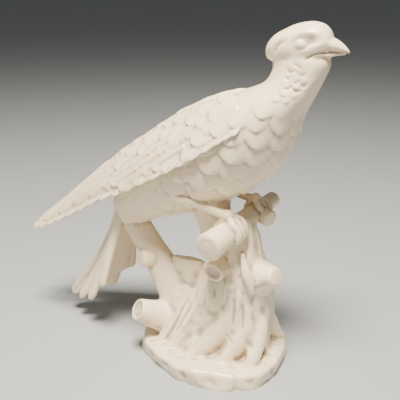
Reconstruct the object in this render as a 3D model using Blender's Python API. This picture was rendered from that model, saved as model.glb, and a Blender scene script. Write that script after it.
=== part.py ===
"""White porcelain figure of a perched bird, cast in one with its branch, stump and base.

Metres, +Z up. The origin is the centre of the base's flat underside and the bird looks along +X.
Every form is a closed shell. The shells overlap, are fused into one skin, softened as a slip
casting is, thinned to flat facets and cut off level at the underside.
"""

import math

import bmesh
import bpy
import numpy as np

# Driving size of the figure. The pose is drawn in millimetres at DRAWN_HEIGHT, and UNIT turns
# a drawn length into metres at the height that is cast.
FIGURE_HEIGHT = 0.250
DRAWN_HEIGHT = 250.0
UNIT = FIGURE_HEIGHT / DRAWN_HEIGHT

# Base
BASE_RADIUS = 0.0582
BASE_THICKNESS = 0.0125
BASE_EDGE_ROUND = 0.0035
BASE_RIM_ROUGHNESS = 0.0004
BASE_RIM_NOTCH_DEPTH = 0.0034
BASE_RIM_NOTCH_WIDTH = 0.0070
BASE_RIM_NOTCH_ANGLE = math.radians(-49)

# The rim's radius as a share of BASE_RADIUS, every 30 degrees from +X towards +Y.
BASE_OUTLINE = (0.99, 0.99, 1.04, 1.01, 1.0, 1.02, 1.0, 0.985, 0.895, 0.92, 1.025, 1.07)

# Waves round the rim with their phases, and the flat facets chipped off it.
BASE_RIM_WAVES = ((8, 1.0), (13, 2.0))
RIM_FACETS = 19
RIM_FACET_SHIFT = 0.30
RIM_FACET_DEPTH = 0.0018
RIM_FACET_SLOPE = 0.28
RIM_FACET_SEED = 21

# The disc's side and top, each as a share of the rim's radius and of BASE_THICKNESS.
BASE_SIDE = ((0.985, 0.0), (0.995, 0.2), (1.0, 0.4))
BASE_TOP = ((0.8, 1.05), (0.5, 1.11), (0.1, 1.15))
UNDERCUT_SHARE = 0.97
BASE_LUMPS = 5
BASE_LUMP_SHARE = 0.05
BASE_LUMP_HEIGHTS = (0.4, 0.8)
BASE_LUMP_PHASE = 0.5

# Branch and stump
BRANCH_RADII = (0.0100, 0.0078, 0.0060)
SIDE_STUB_RADIUS = 0.0064
LEFT_NUB_RADII = (0.0085, 0.0069, 0.0063)
LEFT_STUB_RADII = (0.0160, 0.0115, 0.0082)
RIGHT_STUB_RADII = (0.0240, 0.0165, 0.0096, 0.0070)
KNOT_RADIUS = 0.0082
BARK_RIB_DEPTH = 0.0006
BARK_RIBS = 9
BARK_RIB_WANDER = (2.2, 0.036, 1.3)

# Cut ends, from rim to middle: shares of the limb's radius outwards and along the limb.
CUT_FACE = ((0.97, 0.07), (0.86, 0.14), (0.5, 0.18), (0.2, 0.20))
SUNK_FACE = ((0.94, 0.06), (0.82, 0.02), (0.6, -0.14), (0.2, -0.20))

# Legs and feet
LEG_RADIUS = 0.0029
TOE_RADIUS = 0.0026
CLAW_RADIUS = 0.0012
TOE_SPACING = 0.0050
FRONT_TOES = 3

# Bird
EYE_RADIUS = 0.0030
WING_THICKNESS = 0.0060
WING_EDGE_THINNING = 0.6
WING_EDGE_SPAN = (0.6, 1.0)
WING_ARCH_LEAN = 0.85
WING_ARCH_FULLNESS = 0.8
WING_ROOT_TAPER = 0.04
WING_TIP_TAPER = 0.10
WING_END_SHARE = 0.25
EDGE_TIP_LENGTH = 0.0170
EDGE_TIP_WIDTH = 0.0085
EDGE_TIP_THICKNESS = 0.0034
TAIL_THICKNESS = 0.0074
TAIL_SHEET_THICKNESS = 0.0044
BREAST_SCALE_DEPTH = 0.0017
WING_SCALE_DEPTH = 0.0015
SCALES_AROUND_BODY = 12
SCALE_ROW_PITCH = 0.84
COVERT_ROWS = 11
COVERT_COLUMNS = 3
LONG_FEATHERS = 5
LONG_FEATHER_STEP = 0.75
EDGE_TIPS = 19

# Shape of one carved feather tip, in rows and in feather widths.
FEATHER_ROWS_COVERED = 1.75
FEATHER_HALF_WIDTH = 0.60
FEATHER_TIP_ROUNDING = (0.34, 0.22)
FEATHER_CROWN = 0.22
FEATHER_SHIFT_ACROSS = 0.10
FEATHER_SHIFT_ALONG = 0.16
BREAST_SEED = 3
COVERT_SEED = 7

# Where the breast's scales are carved: below the face, faintly on the neck except beside the
# throat, and hardly under the tail. Heights and places are drawn; turns are cosines from the front.
FACE_EDGE = (228.0, 220.0)
NECK_EDGE = (188.0, 206.0)
NECK_SMOOTHNESS = 0.92
THROAT_SCALES = 0.75
THROAT_EDGE = 0.10
THROAT_EDGE_WIDTH = 0.36
VENT_EDGE = (0.0, -38.0)
VENT_TURN = (-0.85, -0.40)
VENT_SMOOTHNESS = 0.9

# Skin: the grid that the forms are drawn on, the cell that fuses them and the facets that stay.
RING_STEP = 0.0021
MIN_RINGS = 4
HEAD_STEPS = 60
HEAD_SIDES = 80
BEAK_STEPS = 40
BEAK_SIDES = 40
BODY_STEPS = 150
BODY_SIDES = 150
WING_STEPS = 170
WING_STEPS_ACROSS = 46
EDGE_TIP_STEPS = 14
TAIL_STEPS = 60
TAIL_SHEET_STEPS_SHORT = 3
TAIL_SHEET_SIDES = 40
PLUME_SIDES = 24
PLUME_END_SHARE = 0.05
TRUNK_STEPS = 90
TRUNK_SIDES = 150
SKIRT_STEPS = 40
SKIRT_SIDES = 180
LIMB_SIDES = 32
RIM_SIDES = 240
EDGE_ROUND_STEPS = 5
BALL_RINGS = 16
BALL_SIDES = 20
BALL_POLE_GAP = 0.03
SKIN_CELL = 0.0012
SOFTENING_REACH = 0.0024
SOFTENING = 0.5
FACET_TARGET = 9500
UNDERCUT = 0.006
SIDES = (-1.0, 1.0)

# The bird's body, from the throat down to the root of the tail. Each row is one slanting slice:
# its point on the back, its point on the breast or belly, and half its width.
BODY_SLICES = (
    (54.0, 244.0, 68.0, 240.0, 5.0),
    (47.0, 238.0, 75.0, 232.5, 9.4),
    (41.5, 229.0, 79.0, 225.5, 13.0),
    (41.0, 220.0, 75.8, 216.5, 15.0),
    (36.0, 212.0, 71.0, 206.5, 18.5),
    (22.0, 206.0, 66.5, 197.5, 23.5),
    (6.0, 199.5, 62.5, 187.0, 28.5),
    (-10.0, 192.0, 58.5, 175.0, 32.0),
    (-27.0, 181.0, 52.5, 161.0, 33.5),
    (-43.0, 169.0, 41.0, 147.0, 33.5),
    (-58.0, 157.0, 24.0, 134.0, 32.0),
    (-70.0, 146.0, 4.0, 124.0, 29.0),
    (-79.0, 137.0, -20.0, 113.0, 24.5),
    (-83.0, 128.0, -43.0, 104.5, 20.0),
    (-85.0, 119.0, -58.0, 97.5, 16.0),
    (-86.0, 110.0, -68.0, 91.0, 12.0),
)

# The throat is a little squarer than an oval, from its lower end to its upper end.
FRONT_SQUARENESS = 0.84
SQUARE_EDGE = (186.0, 206.0)

# The head, from nape to forehead: place along X, top, bottom and half width.
HEAD_SLICES = (
    (36.6, 233.0, 228.5, 3.0),
    (38.2, 237.8, 226.5, 7.0),
    (42.5, 242.4, 224.5, 10.6),
    (49.0, 246.0, 222.5, 12.9),
    (56.0, 249.0, 221.5, 14.0),
    (64.0, 250.6, 222.0, 14.0),
    (70.0, 250.3, 223.5, 12.6),
    (74.5, 248.6, 226.0, 10.6),
    (77.6, 245.4, 229.0, 8.2),
    (78.8, 242.4, 232.0, 5.4),
)

# Upper and lower halves of the beak: place along X, top, bottom and half width.
UPPER_BEAK_SLICES = (
    (62.0, 239.0, 229.0, 10.8),
    (68.5, 241.0, 230.0, 11.6),
    (74.5, 241.8, 231.6, 9.6),
    (79.5, 241.2, 232.4, 7.2),
    (84.5, 238.6, 232.6, 5.0),
    (88.2, 235.4, 232.2, 2.9),
    (90.2, 233.2, 231.4, 1.1),
)
LOWER_BEAK_SLICES = (
    (60.0, 228.5, 222.0, 9.0),
    (67.0, 231.0, 225.5, 10.8),
    (74.0, 232.4, 228.2, 8.8),
    (80.0, 232.8, 229.8, 6.0),
    (85.0, 232.4, 230.8, 3.2),
    (87.6, 232.0, 231.0, 1.4),
)
EYE_CENTRE = (61.6, 12.8, 237.0)

# Hollows beside the eye: middle, reach and depth.
EYE_SOCKETS = (((63.5, 14.0, 238.0), 6.2, 2.3), ((69.5, 12.0, 239.6), 4.4, 1.7))

# One folded wing, from the shoulder to the tip: its upper edge, then its lower edge.
WING_SLICES = (
    (27.0, 20.0, 198.0, 29.0, 25.0, 192.0),
    (22.0, 15.0, 203.0, 28.0, 31.0, 184.5),
    (10.0, 10.0, 203.0, 18.0, 34.5, 176.5),
    (-8.0, 7.0, 196.5, 2.0, 36.5, 165.5),
    (-28.0, 5.0, 185.5, -17.0, 36.5, 154.0),
    (-48.0, 4.0, 172.5, -38.0, 34.5, 142.5),
    (-70.0, 3.5, 157.5, -61.0, 30.5, 130.0),
    (-92.0, 3.5, 141.0, -86.0, 25.5, 118.5),
    (-114.0, 4.5, 122.5, -110.0, 20.5, 104.5),
    (-136.0, 6.5, 104.0, -133.0, 17.0, 92.0),
    (-153.0, 9.0, 91.0, -151.0, 14.5, 83.0),
    (-162.0, 11.5, 83.0, -161.0, 13.0, 79.5),
)
WING_BULGE = 5.0
SHOULDER_BULGE = 3.2
SHOULDER_REACH = 0.13
WING_INNER_BULGE_SHARE = 0.8
COVERTS_END = 0.54
COVERTS_SLANT = 0.10
COVERTS_FADE = 0.05
COVERTS_LENGTH = 0.62
EDGE_TIP_SPAN = (0.07, 0.95)
EDGE_TIP_DROOP = math.radians(5)
EDGE_TIP_BACK = 0.5
EDGE_TIP_RAISE = 0.15

# The tail's middle feather and its outermost feather from their roots down, and every tip.
TAIL_MIDDLE = ((-80.0, 0.0, 126.0), (-87.5, 0.0, 94.0), (-105.0, 0.0, 58.0))
TAIL_OUTER = ((-76.0, 5.0, 124.0), (-79.5, 11.5, 94.0), (-86.5, 18.0, 61.0))
TAIL_TIPS = ((-136.0, 0.0, 17.0), (-123.0, 7.5, 19.0), (-107.5, 15.0, 24.5), (-91.0, 20.5, 43.0))
TAIL_FEATHER_WIDTH = 11.2
TAIL_SHEET_DEPTH = 0.30

# A free feather: share of the width at its root, thinning towards the tip and rounded length.
TAIL_PLUME = (0.42, 0.25, 0.08)
EDGE_PLUME = (0.60, 0.10, 0.35)

# Branch across the bird, and the leg and foot on each side of it.
BRANCH_NEAR_END = (15.5, -43.0, 105.5)
BRANCH_FAR_END = (29.5, 43.0, 116.0)
FOOT_OFFSET = 18.0
LEG_PATH = (
    (-34.0, 22.0, 139.0),
    (-19.0, 25.0, 130.8),
    (-8.0, 23.5, 128.6),
    (2.5, 21.5, 125.5),
    (13.0, 19.3, 121.8),
)
FAR_LEG_PATH = ((-8.0, 16.0, 133.0), (4.0, 17.0, 127.5), (14.0, 18.0, 124.5), (22.0, 18.0, 122.5))
LEG_SPREADS = (2.0, 1.45, 1.2, 1.08, 1.12, 1.5)
HEEL_SPREADS = (1.45, 1.25, 1.0)
FOOT_LIFT = 1.2
FOOT_ANGLE = 95.0
TOE_LIFT = 0.35
FRONT_TOE_ANGLES = (60.0, 25.0, -12.0, -48.0)
HIND_TOE_ANGLES = (125.0, 160.0, 200.0)

# Plain tubes of the stump: path points, then the radius at each point.
PILLAR_PATH = ((-3.0, 0.0, 134.0), (-3.0, 0.0, 120.0), (1.0, 0.0, 105.0), (6.0, 0.0, 88.0))
PILLAR_RADII = (16.0, 15.0, 13.5, 14.0)
PILLAR_FLATTENING = 0.75
LEFT_TRUNK_PATH = (
    (-12.0, 0.0, 14.0),
    (-30.0, -1.0, 40.0),
    (-44.0, -1.0, 62.0),
    (-58.0, 0.0, 80.0),
    (-70.0, 0.0, 97.0),
    (-76.0, 0.0, 112.0),
)
LEFT_TRUNK_RADII = (22.0, 15.5, 12.0, 10.5, 10.5, 8.0)

# Main trunk, from the ground up: height, centre x, centre y, half width and half depth.
TRUNK_SLICES = (
    (4.0, 9.0, -1.0, 36.0, 27.0),
    (20.0, 10.0, -1.0, 36.0, 26.5),
    (34.0, 12.0, -1.0, 35.0, 25.0),
    (48.0, 15.0, 0.0, 32.5, 22.5),
    (62.0, 17.5, 0.0, 29.5, 20.5),
    (76.0, 18.5, 0.0, 24.0, 18.5),
    (90.0, 19.0, 0.0, 17.0, 17.0),
    (103.0, 20.5, 0.0, 12.5, 14.5),
    (111.0, 21.5, 0.0, 9.0, 11.5),
)

# Low web that joins the two trunks below the saddle, in the same columns.
WEB_SLICES = (
    (4.0, -14.0, -1.0, 31.0, 26.0),
    (26.0, -16.0, 0.0, 27.0, 19.0),
    (44.0, -20.0, 1.0, 23.0, 11.0),
    (58.0, -24.0, 2.0, 19.0, 7.5),
    (68.0, -24.0, 1.0, 17.0, 6.0),
    (73.0, -22.0, 0.0, 13.0, 4.0),
)

# Cut stubs: their middles from root to cut face.
SIDE_STUB_SHARE = 0.72
SIDE_STUB_REACH = (12.5, -6.0, -2.0)
LEFT_NUB = ((-47.0, 0.0, 69.5), (-52.0, -10.0, 71.0), (-54.5, -15.5, 72.0))
LEFT_STUB = ((-27.0, -4.0, 21.0), (-39.5, -19.0, 29.0), (-49.5, -32.0, 37.5))
RIGHT_STUB = ((24.0, 2.0, 66.0), (36.0, -3.0, 70.5), (46.0, -7.5, 75.0), (52.0, -9.5, 77.0))

# The knot with its sunk face, the flat column below it and the lens-shaped ridge beside it.
KNOT = ((12.0, -8.0, 86.0), (11.2, -20.0, 81.0), (11.0, -26.0, 79.0))
KNOT_COLUMN = ((11.0, -10.0, 86.0), (11.0, -18.5, 72.0), (10.3, -20.0, 60.0), (9.8, -21.0, 48.5))
KNOT_COLUMN_RADII = (6.5, 7.2, 7.0, 6.6)
FRONT_RIDGE = ((29.0, -15.5, 93.0), (34.0, -18.4, 79.0), (40.0, -19.0, 64.0))
FRONT_RIDGE_RADII = (1.5, 4.0, 1.5)

# Skirt of roots over the base: direction in degrees, reach as a share of BASE_RADIUS and half
# width in degrees.
ROOTS = (
    (-138.0, 0.74, 13.0),
    (-122.0, 0.66, 11.0),
    (-94.0, 0.68, 13.0),
    (-64.0, 0.70, 13.0),
    (-36.0, 0.80, 13.0),
    (-8.0, 0.90, 12.0),
    (27.0, 0.84, 14.0),
    (54.0, 0.76, 14.0),
    (96.0, 0.68, 16.0),
    (132.0, 0.76, 15.0),
    (165.0, 0.84, 18.0),
)
SKIRT_HEIGHT = 34.0
SKIRT_FOOT_SHARE = 0.6
ROOT_HOLLOW_SHARE = 0.52
ROOT_SWEEP = 1.7
ROOT_TOP_SHARES = (0.80, 0.55)

# Round roots that run down over the skirt: their middles, and the radius at each place.
ROOT_RIDGES = (
    (
        ((24.0, -6.0, 54.0), (17.0, -20.0, 36.0), (8.0, -28.0, 21.0), (-4.0, -36.0, 9.0)),
        (9.0, 8.5, 7.5, 4.6),
    ),
    (
        ((33.0, -6.0, 50.0), (32.0, -17.0, 33.0), (27.0, -25.0, 20.0), (18.0, -34.0, 9.0)),
        (8.0, 7.6, 6.6, 4.4),
    ),
    (
        ((40.0, -4.0, 46.0), (42.0, -13.0, 29.0), (42.0, -20.0, 18.0), (41.0, -27.0, 9.0)),
        (7.0, 6.6, 5.8, 4.2),
    ),
    (
        ((-16.0, -5.0, 50.0), (-21.0, -14.0, 35.0), (-26.0, -21.0, 22.0), (-36.0, -31.0, 9.0)),
        (7.0, 5.6, 4.8, 3.6),
    ),
    (
        ((-8.0, -7.0, 50.0), (-12.0, -17.0, 35.0), (-16.0, -24.0, 22.0), (-24.0, -34.0, 9.0)),
        (7.0, 5.6, 4.8, 3.6),
    ),
    (
        ((14.0, 6.0, 50.0), (18.0, 18.0, 33.0), (22.0, 26.0, 20.0), (27.0, 34.0, 9.0)),
        (8.0, 7.2, 6.2, 4.2),
    ),
    (
        ((-14.0, 6.0, 48.0), (-18.0, 16.0, 33.0), (-23.0, 25.0, 20.0), (-30.0, 33.0, 9.0)),
        (8.0, 7.2, 6.2, 4.2),
    ),
    (
        ((34.0, 5.0, 48.0), (40.0, 12.0, 31.0), (43.0, 17.0, 20.0), (47.0, 22.0, 9.0)),
        (7.0, 6.4, 5.6, 4.2),
    ),
)

# Joints that are blended by hand: middle and reach. The roots are blended between two heights.
HEAD_BLENDS = (
    ((60.0, -13.5, 223.5), 9.5),
    ((60.0, 13.5, 223.5), 9.5),
    ((61.0, -13.5, 229.5), 5.5),
    ((61.0, 13.5, 229.5), 5.5),
    ((48.0, -12.0, 223.0), 8.0),
    ((48.0, 12.0, 223.0), 8.0),
    ((42.0, 0.0, 225.0), 7.0),
    ((75.0, 0.0, 225.0), 8.0),
)
STUMP_BLENDS = (
    ((-30.0, -8.0, 32.0), 16.0),
    ((-30.0, -6.0, 54.0), 16.0),
    ((-3.0, -9.0, 62.0), 9.0),
    ((-15.0, -8.0, 58.0), 16.0),
    ((-20.0, 8.0, 55.0), 18.0),
    ((38.0, -9.0, 86.0), 11.0),
    ((40.0, -9.0, 60.0), 13.0),
    ((40.0, 8.0, 70.0), 14.0),
    ((-46.0, -4.0, 68.0), 8.0),
    ((11.0, -20.0, 45.0), 9.0),
    ((14.0, -12.0, 94.0), 10.0),
    ((0.0, -8.0, 112.0), 9.0),
    ((-68.0, 0.0, 100.0), 10.0),
)
BLEND_REACH = 0.0042
BLEND_STRENGTH = 0.5
BLEND_CORE = 0.6
ROOT_BLEND_HEIGHTS = (11.0, 15.0, 40.0, 52.0)
ROOT_BLEND_RADII = (50.0, 44.0)

PORCELAIN_COLOUR = (0.90, 0.82, 0.70, 1.0)
PORCELAIN_ROUGHNESS = 0.32


def drawn(rows):
    """Turn drawn millimetres into metres at the cast height."""
    return np.asarray(rows, dtype=float) * UNIT


def turn_around(count):
    """Angles evenly spread round a ring."""
    return np.linspace(0, 2 * math.pi, count, endpoint=False)


def smooth_step(low, high, value):
    """Soft rise from 0 at low to 1 at high; high may be less than low for a fall."""
    share = np.clip((value - low) / (high - low), 0, 1)
    return share * share * (3 - 2 * share)


def curve_between(before, start, end, after, t):
    """Smooth curve from start to end that also heeds the places before and after them."""
    first = (end - before) * t
    second = (2 * before - 5 * start + 4 * end - after) * t**2
    third = (3 * start - before - 3 * end + after) * t**3
    return start + (first + second + third) / 2


def smooth_rows(rows, count):
    """Carry a smooth curve through rows of numbers and read it at evenly spread places.

    Args:
        rows: Rows to pass through.
        count: Number of rows wanted.
    """
    rows = np.asarray(rows, dtype=float)
    last = len(rows) - 1
    padded = np.vstack([2 * rows[0] - rows[1], rows, 2 * rows[-1] - rows[-2]])
    place = np.linspace(0, last, count)
    index = np.minimum(place.astype(int), last - 1)
    return curve_between(*(padded[index + k] for k in range(4)), (place - index)[:, None])


def wobble(first, second, seed):
    """Give a repeatable number between -1 and 1 for each pair of whole numbers."""
    mixed = np.sin(first * 127.1 + second * 311.7 + seed * 74.7) * 43758.5453
    return 2 * (mixed - np.floor(mixed)) - 1


def tile_height(row, column, seed):
    """Height from 0 to 1 of rounded feather tips that overlap like roof tiles.

    Args:
        row: Place along the feathers, in rows.
        column: Place across the feathers, in feather widths.
        seed: Changes the small irregularities.
    """
    height = np.zeros(np.broadcast(row, column).shape)
    broad, sharp = FEATHER_TIP_ROUNDING
    for back in range(math.ceil(FEATHER_ROWS_COVERED) + 1):
        tile_row = np.floor(row) - back
        stagger = 0.5 * np.mod(tile_row, 2)
        for neighbour in (-1, 0, 1):
            tile_column = np.floor(column - stagger + 0.5) + neighbour
            middle = tile_column + stagger + FEATHER_SHIFT_ACROSS * wobble(tile_row, tile_column, seed)
            start = tile_row + FEATHER_SHIFT_ALONG * wobble(tile_column, tile_row, seed + 1)
            across = (column - middle) / FEATHER_HALF_WIDTH
            along = (row - start) / FEATHER_ROWS_COVERED
            tip = 1 - broad * across**2 - sharp * across**4
            inside = (along > 0) & (along < tip) & (np.abs(across) < 1)
            tile = np.where(inside, along * (1 - FEATHER_CROWN * across**2), 0)
            height = np.maximum(height, tile)
    return height


class Clay:
    """Collects closed shells that are later fused into one skin."""

    def __init__(self):
        self.points = []
        self.faces = []

    def add_loft(self, rings):
        """Close a stack of rings, each an array of places, with a pole at either end."""
        rings = np.asarray(rings)
        stack, around, _ = rings.shape
        start = len(self.points)
        self.points.extend(rings.reshape(-1, 3))
        self.points.append(rings[0].mean(axis=0))
        self.points.append(rings[-1].mean(axis=0))
        first_pole = start + stack * around
        last_pole = first_pole + 1
        for level in range(stack - 1):
            low = start + level * around
            for k in range(around):
                after = (k + 1) % around
                self.faces.append((low + k, low + after, low + around + after, low + around + k))
        top = start + (stack - 1) * around
        for k in range(around):
            after = (k + 1) % around
            self.faces.append((first_pole, start + after, start + k))
            self.faces.append((last_pole, top + k, top + after))

    def add_tube(self, path, radii, sides=20, flatten=1.0):
        """Sweep a round section along a smooth path and close it."""
        self.add_loft(self.tube_rings(path, radii, sides, flatten))

    def tube_rings(self, path, radii, sides, flatten):
        """Rings of a round section along a smooth path.

        Args:
            path: Places in metres that the middle passes through.
            radii: Radius at each place, or one radius.
            sides: Points around the section.
            flatten: Share of the radius kept in the upward direction.
        """
        path = np.asarray(path, dtype=float)
        radii = np.broadcast_to(np.asarray(radii, dtype=float), len(path))
        length = np.linalg.norm(np.diff(path, axis=0), axis=1).sum()
        steps = max(MIN_RINGS, int(length / RING_STEP))
        line = smooth_rows(np.column_stack([path, radii]), steps)
        middle, radius = line[:, :3], line[:, 3]
        ahead = np.gradient(middle, axis=0)
        ahead /= np.linalg.norm(ahead, axis=1)[:, None]
        helper = np.array([0.0, 0.0, 1.0]) if abs(ahead[0][2]) < 0.8 else np.array([0.0, 1.0, 0.0])
        rings = []
        for place, direction, size in zip(middle, ahead, radius):
            side = np.cross(direction, helper)
            side /= np.linalg.norm(side)
            upward = np.cross(side, direction)
            helper = upward
            angle = turn_around(sides)
            spread = np.outer(np.cos(angle), side) + flatten * np.outer(np.sin(angle), upward)
            rings.append(place + size * spread)
        return np.array(rings)

    def add_cut_limb(self, path, radii, face=CUT_FACE):
        """Sweep a round limb whose last end is cut off with the given face."""
        rings = self.tube_rings(path, radii, LIMB_SIDES, 1.0)
        centre = rings[-1].mean(axis=0)
        ahead = centre - rings[-2].mean(axis=0)
        ahead /= np.linalg.norm(ahead)
        radius = np.linalg.norm(rings[-1][0] - centre)
        ends = [centre + (rings[-1] - centre) * share + ahead * radius * rise for share, rise in face]
        self.add_loft(np.concatenate([rings, ends], axis=0))

    def add_ball(self, centre, radius):
        """Add a ball."""
        level = np.linspace(BALL_POLE_GAP, math.pi - BALL_POLE_GAP, BALL_RINGS)[:, None]
        angle = turn_around(BALL_SIDES)[None, :]
        x = np.sin(level) * np.cos(angle)
        y = np.sin(level) * np.sin(angle)
        z = np.cos(level) + 0 * angle
        self.add_loft(centre + radius * np.stack([x, y, z], axis=2))


def ring_normals(rings):
    """Outward directions over a stack of rings that run round their own middles."""
    along = np.gradient(rings, axis=0)
    around = np.roll(rings, -1, axis=1) - np.roll(rings, 1, axis=1)
    normals = np.cross(around, along)
    normals /= np.linalg.norm(normals, axis=2)[:, :, None] + 1e-12
    outward = rings - rings.mean(axis=1)[:, None, :]
    flip = np.sign((normals * outward).sum(axis=2))[:, :, None]
    return normals * flip


def scale_strength(place, share):
    """How deeply the body's scales are carved, from 0 to 1.

    Args:
        place: Places on the body.
        share: Share of the way round, from 0 on the back over 0.5 on the breast to 1.
    """
    height = place[..., 2] / UNIT
    facing_front = np.cos((share - 0.5) * 2 * math.pi)
    below_face = smooth_step(*FACE_EDGE, height)
    throat_edge = np.exp(-(((facing_front - THROAT_EDGE) / THROAT_EDGE_WIDTH) ** 2))
    neck = smooth_step(*NECK_EDGE, height) * (NECK_SMOOTHNESS - THROAT_SCALES * throat_edge)
    vent = smooth_step(*VENT_EDGE, place[..., 0] / UNIT) * smooth_step(*VENT_TURN, facing_front)
    return below_face * (1 - neck) * (1 - VENT_SMOOTHNESS * vent)


def add_body(clay):
    """Neck, breast and belly in one loft, with rows of rounded scales that follow its girth."""
    slices = smooth_rows(BODY_SLICES, BODY_STEPS)
    angle = turn_around(BODY_SIDES)
    back = np.column_stack([slices[:, 0], 0 * slices[:, 0], slices[:, 1]]) * UNIT
    front = np.column_stack([slices[:, 2], 0 * slices[:, 2], slices[:, 3]]) * UNIT
    centre = (back + front) / 2
    reach = (back - front) / 2
    width = slices[:, 4] * UNIT
    neck = smooth_step(*SQUARE_EDGE, centre[:, 2] / UNIT)[:, None]
    power = 1 - (1 - FRONT_SQUARENESS) * neck * (np.cos(angle) < 0)[None, :]
    along = np.sign(np.cos(angle))[None, :] * np.abs(np.cos(angle))[None, :] ** power
    across = np.sign(np.sin(angle))[None, :] * np.abs(np.sin(angle))[None, :] ** power
    rings = centre[:, None, :] + reach[:, None, :] * along[:, :, None]
    rings[:, :, 1] += width[:, None] * across
    hop = np.linalg.norm(np.roll(rings, -1, axis=1) - rings, axis=2)
    girth = hop.sum(axis=1)
    pace = np.linalg.norm(np.diff(rings, axis=0), axis=2).mean(axis=1)
    scale_length = SCALE_ROW_PITCH * girth[:-1] / SCALES_AROUND_BODY
    row = np.concatenate([[0], np.cumsum(pace / scale_length)])[:, None]
    share = np.cumsum(hop, axis=1) / girth[:, None]
    tiles = tile_height(row, share * SCALES_AROUND_BODY, BREAST_SEED) - 0.5
    depth = BREAST_SCALE_DEPTH * girth[:, None] / girth.max() * scale_strength(rings, share)
    clay.add_loft(rings + ring_normals(rings) * (depth * tiles)[:, :, None])


def slice_rings(table, steps, around):
    """Upright oval rings from rows of place along X, top, bottom and half width."""
    slices = smooth_rows(table, steps) * UNIT
    angle = turn_around(around)
    middle = (slices[:, 1] + slices[:, 2]) / 2
    half = (slices[:, 1] - slices[:, 2]) / 2
    x = np.repeat(slices[:, 0][:, None], around, axis=1)
    y = slices[:, 3][:, None] * np.sin(angle)[None, :]
    z = middle[:, None] + half[:, None] * np.cos(angle)[None, :]
    return np.stack([x, y, z], axis=2)


def add_head(clay):
    """Head with sunk eye sockets, eyes and beak."""
    rings = slice_rings(HEAD_SLICES, HEAD_STEPS, HEAD_SIDES)
    for side in SIDES:
        for place, width, depth in EYE_SOCKETS:
            centre = drawn(place) * np.array([1.0, side, 1.0])
            distance = np.linalg.norm(rings - centre, axis=2) / (width * UNIT)
            rings[:, :, 1] -= side * depth * UNIT * np.exp(-(distance**2))
    clay.add_loft(rings)
    clay.add_loft(slice_rings(UPPER_BEAK_SLICES, BEAK_STEPS, BEAK_SIDES))
    clay.add_loft(slice_rings(LOWER_BEAK_SLICES, BEAK_STEPS, BEAK_SIDES))
    for side in SIDES:
        clay.add_ball(drawn(EYE_CENTRE) * np.array([1.0, side, 1.0]), EYE_RADIUS)


def wing_relief(along, across):
    """Height from 0 to 1 over a wing: covert tiles in front, long feathers behind."""
    row = along * COVERT_ROWS / COVERTS_LENGTH
    coverts = tile_height(row, across * COVERT_COLUMNS, COVERT_SEED)
    band = (1 - across) * LONG_FEATHERS
    long_feathers = 1 - LONG_FEATHER_STEP * (band - np.floor(band))
    blend = np.clip((along - COVERTS_END - COVERTS_SLANT * across) / COVERTS_FADE, 0, 1)
    return coverts * (1 - blend) + long_feathers * blend


def add_wing(clay, side):
    """One folded wing: a bulging blade whose inner face sinks into the body."""
    slices = smooth_rows(WING_SLICES, WING_STEPS) * UNIT
    upper = slices[:, 0:3] * np.array([1.0, side, 1.0])
    lower = slices[:, 3:6] * np.array([1.0, side, 1.0])
    along = np.linspace(0, 1, WING_STEPS)
    across = np.linspace(0, 1, WING_STEPS_ACROSS)
    spread = lower - upper
    ahead = np.gradient(upper, axis=0)
    outward = np.cross(ahead, spread)
    outward /= np.linalg.norm(outward, axis=1)[:, None]
    outward *= np.sign(outward[:, 1] * side)[:, None]
    size = np.linalg.norm(spread, axis=1) / np.linalg.norm(spread, axis=1).max()
    shoulder = SHOULDER_BULGE * np.exp(-((along / SHOULDER_REACH) ** 2))
    arch = np.sin(math.pi * across**WING_ARCH_LEAN)[None, :] ** WING_ARCH_FULLNESS
    arch = arch * ((WING_BULGE * size + shoulder) * UNIT)[:, None]
    relief = WING_SCALE_DEPTH * wing_relief(along[:, None], across[None, :])
    relief = relief * np.clip(size * 2, 0, 1)[:, None]
    surface = upper[:, None, :] + spread[:, None, :] * across[None, :, None]
    outer = surface + outward[:, None, :] * (arch + relief)[:, :, None]
    taper = np.minimum(along / WING_ROOT_TAPER, (1 - along) / WING_TIP_TAPER).clip(WING_END_SHARE, 1)
    thinned = 1 - WING_EDGE_THINNING * smooth_step(*WING_EDGE_SPAN, across)
    depth = WING_THICKNESS * taper[:, None] * thinned[None, :]
    inner = surface + outward[:, None, :] * (arch * WING_INNER_BULGE_SHARE - depth)[:, :, None]
    rings = np.concatenate([outer, inner[:, ::-1]], axis=1)
    clay.add_loft(rings)
    forward = ahead / np.linalg.norm(ahead, axis=1)[:, None]
    down = spread / np.linalg.norm(spread, axis=1)[:, None]
    for share in np.linspace(*EDGE_TIP_SPAN, EDGE_TIPS):
        index = int(share * (WING_STEPS - 1))
        flow = forward[index] * math.cos(EDGE_TIP_DROOP) + down[index] * math.sin(EDGE_TIP_DROOP)
        sunk = forward[index] * EDGE_TIP_BACK + down[index] * EDGE_TIP_RAISE
        start = lower[index] - sunk * EDGE_TIP_LENGTH
        line = start + np.linspace(0, 1, EDGE_TIP_STEPS)[:, None] * flow * EDGE_TIP_LENGTH
        add_plume(clay, line, down[index], EDGE_TIP_WIDTH, EDGE_TIP_THICKNESS, EDGE_PLUME)


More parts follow.
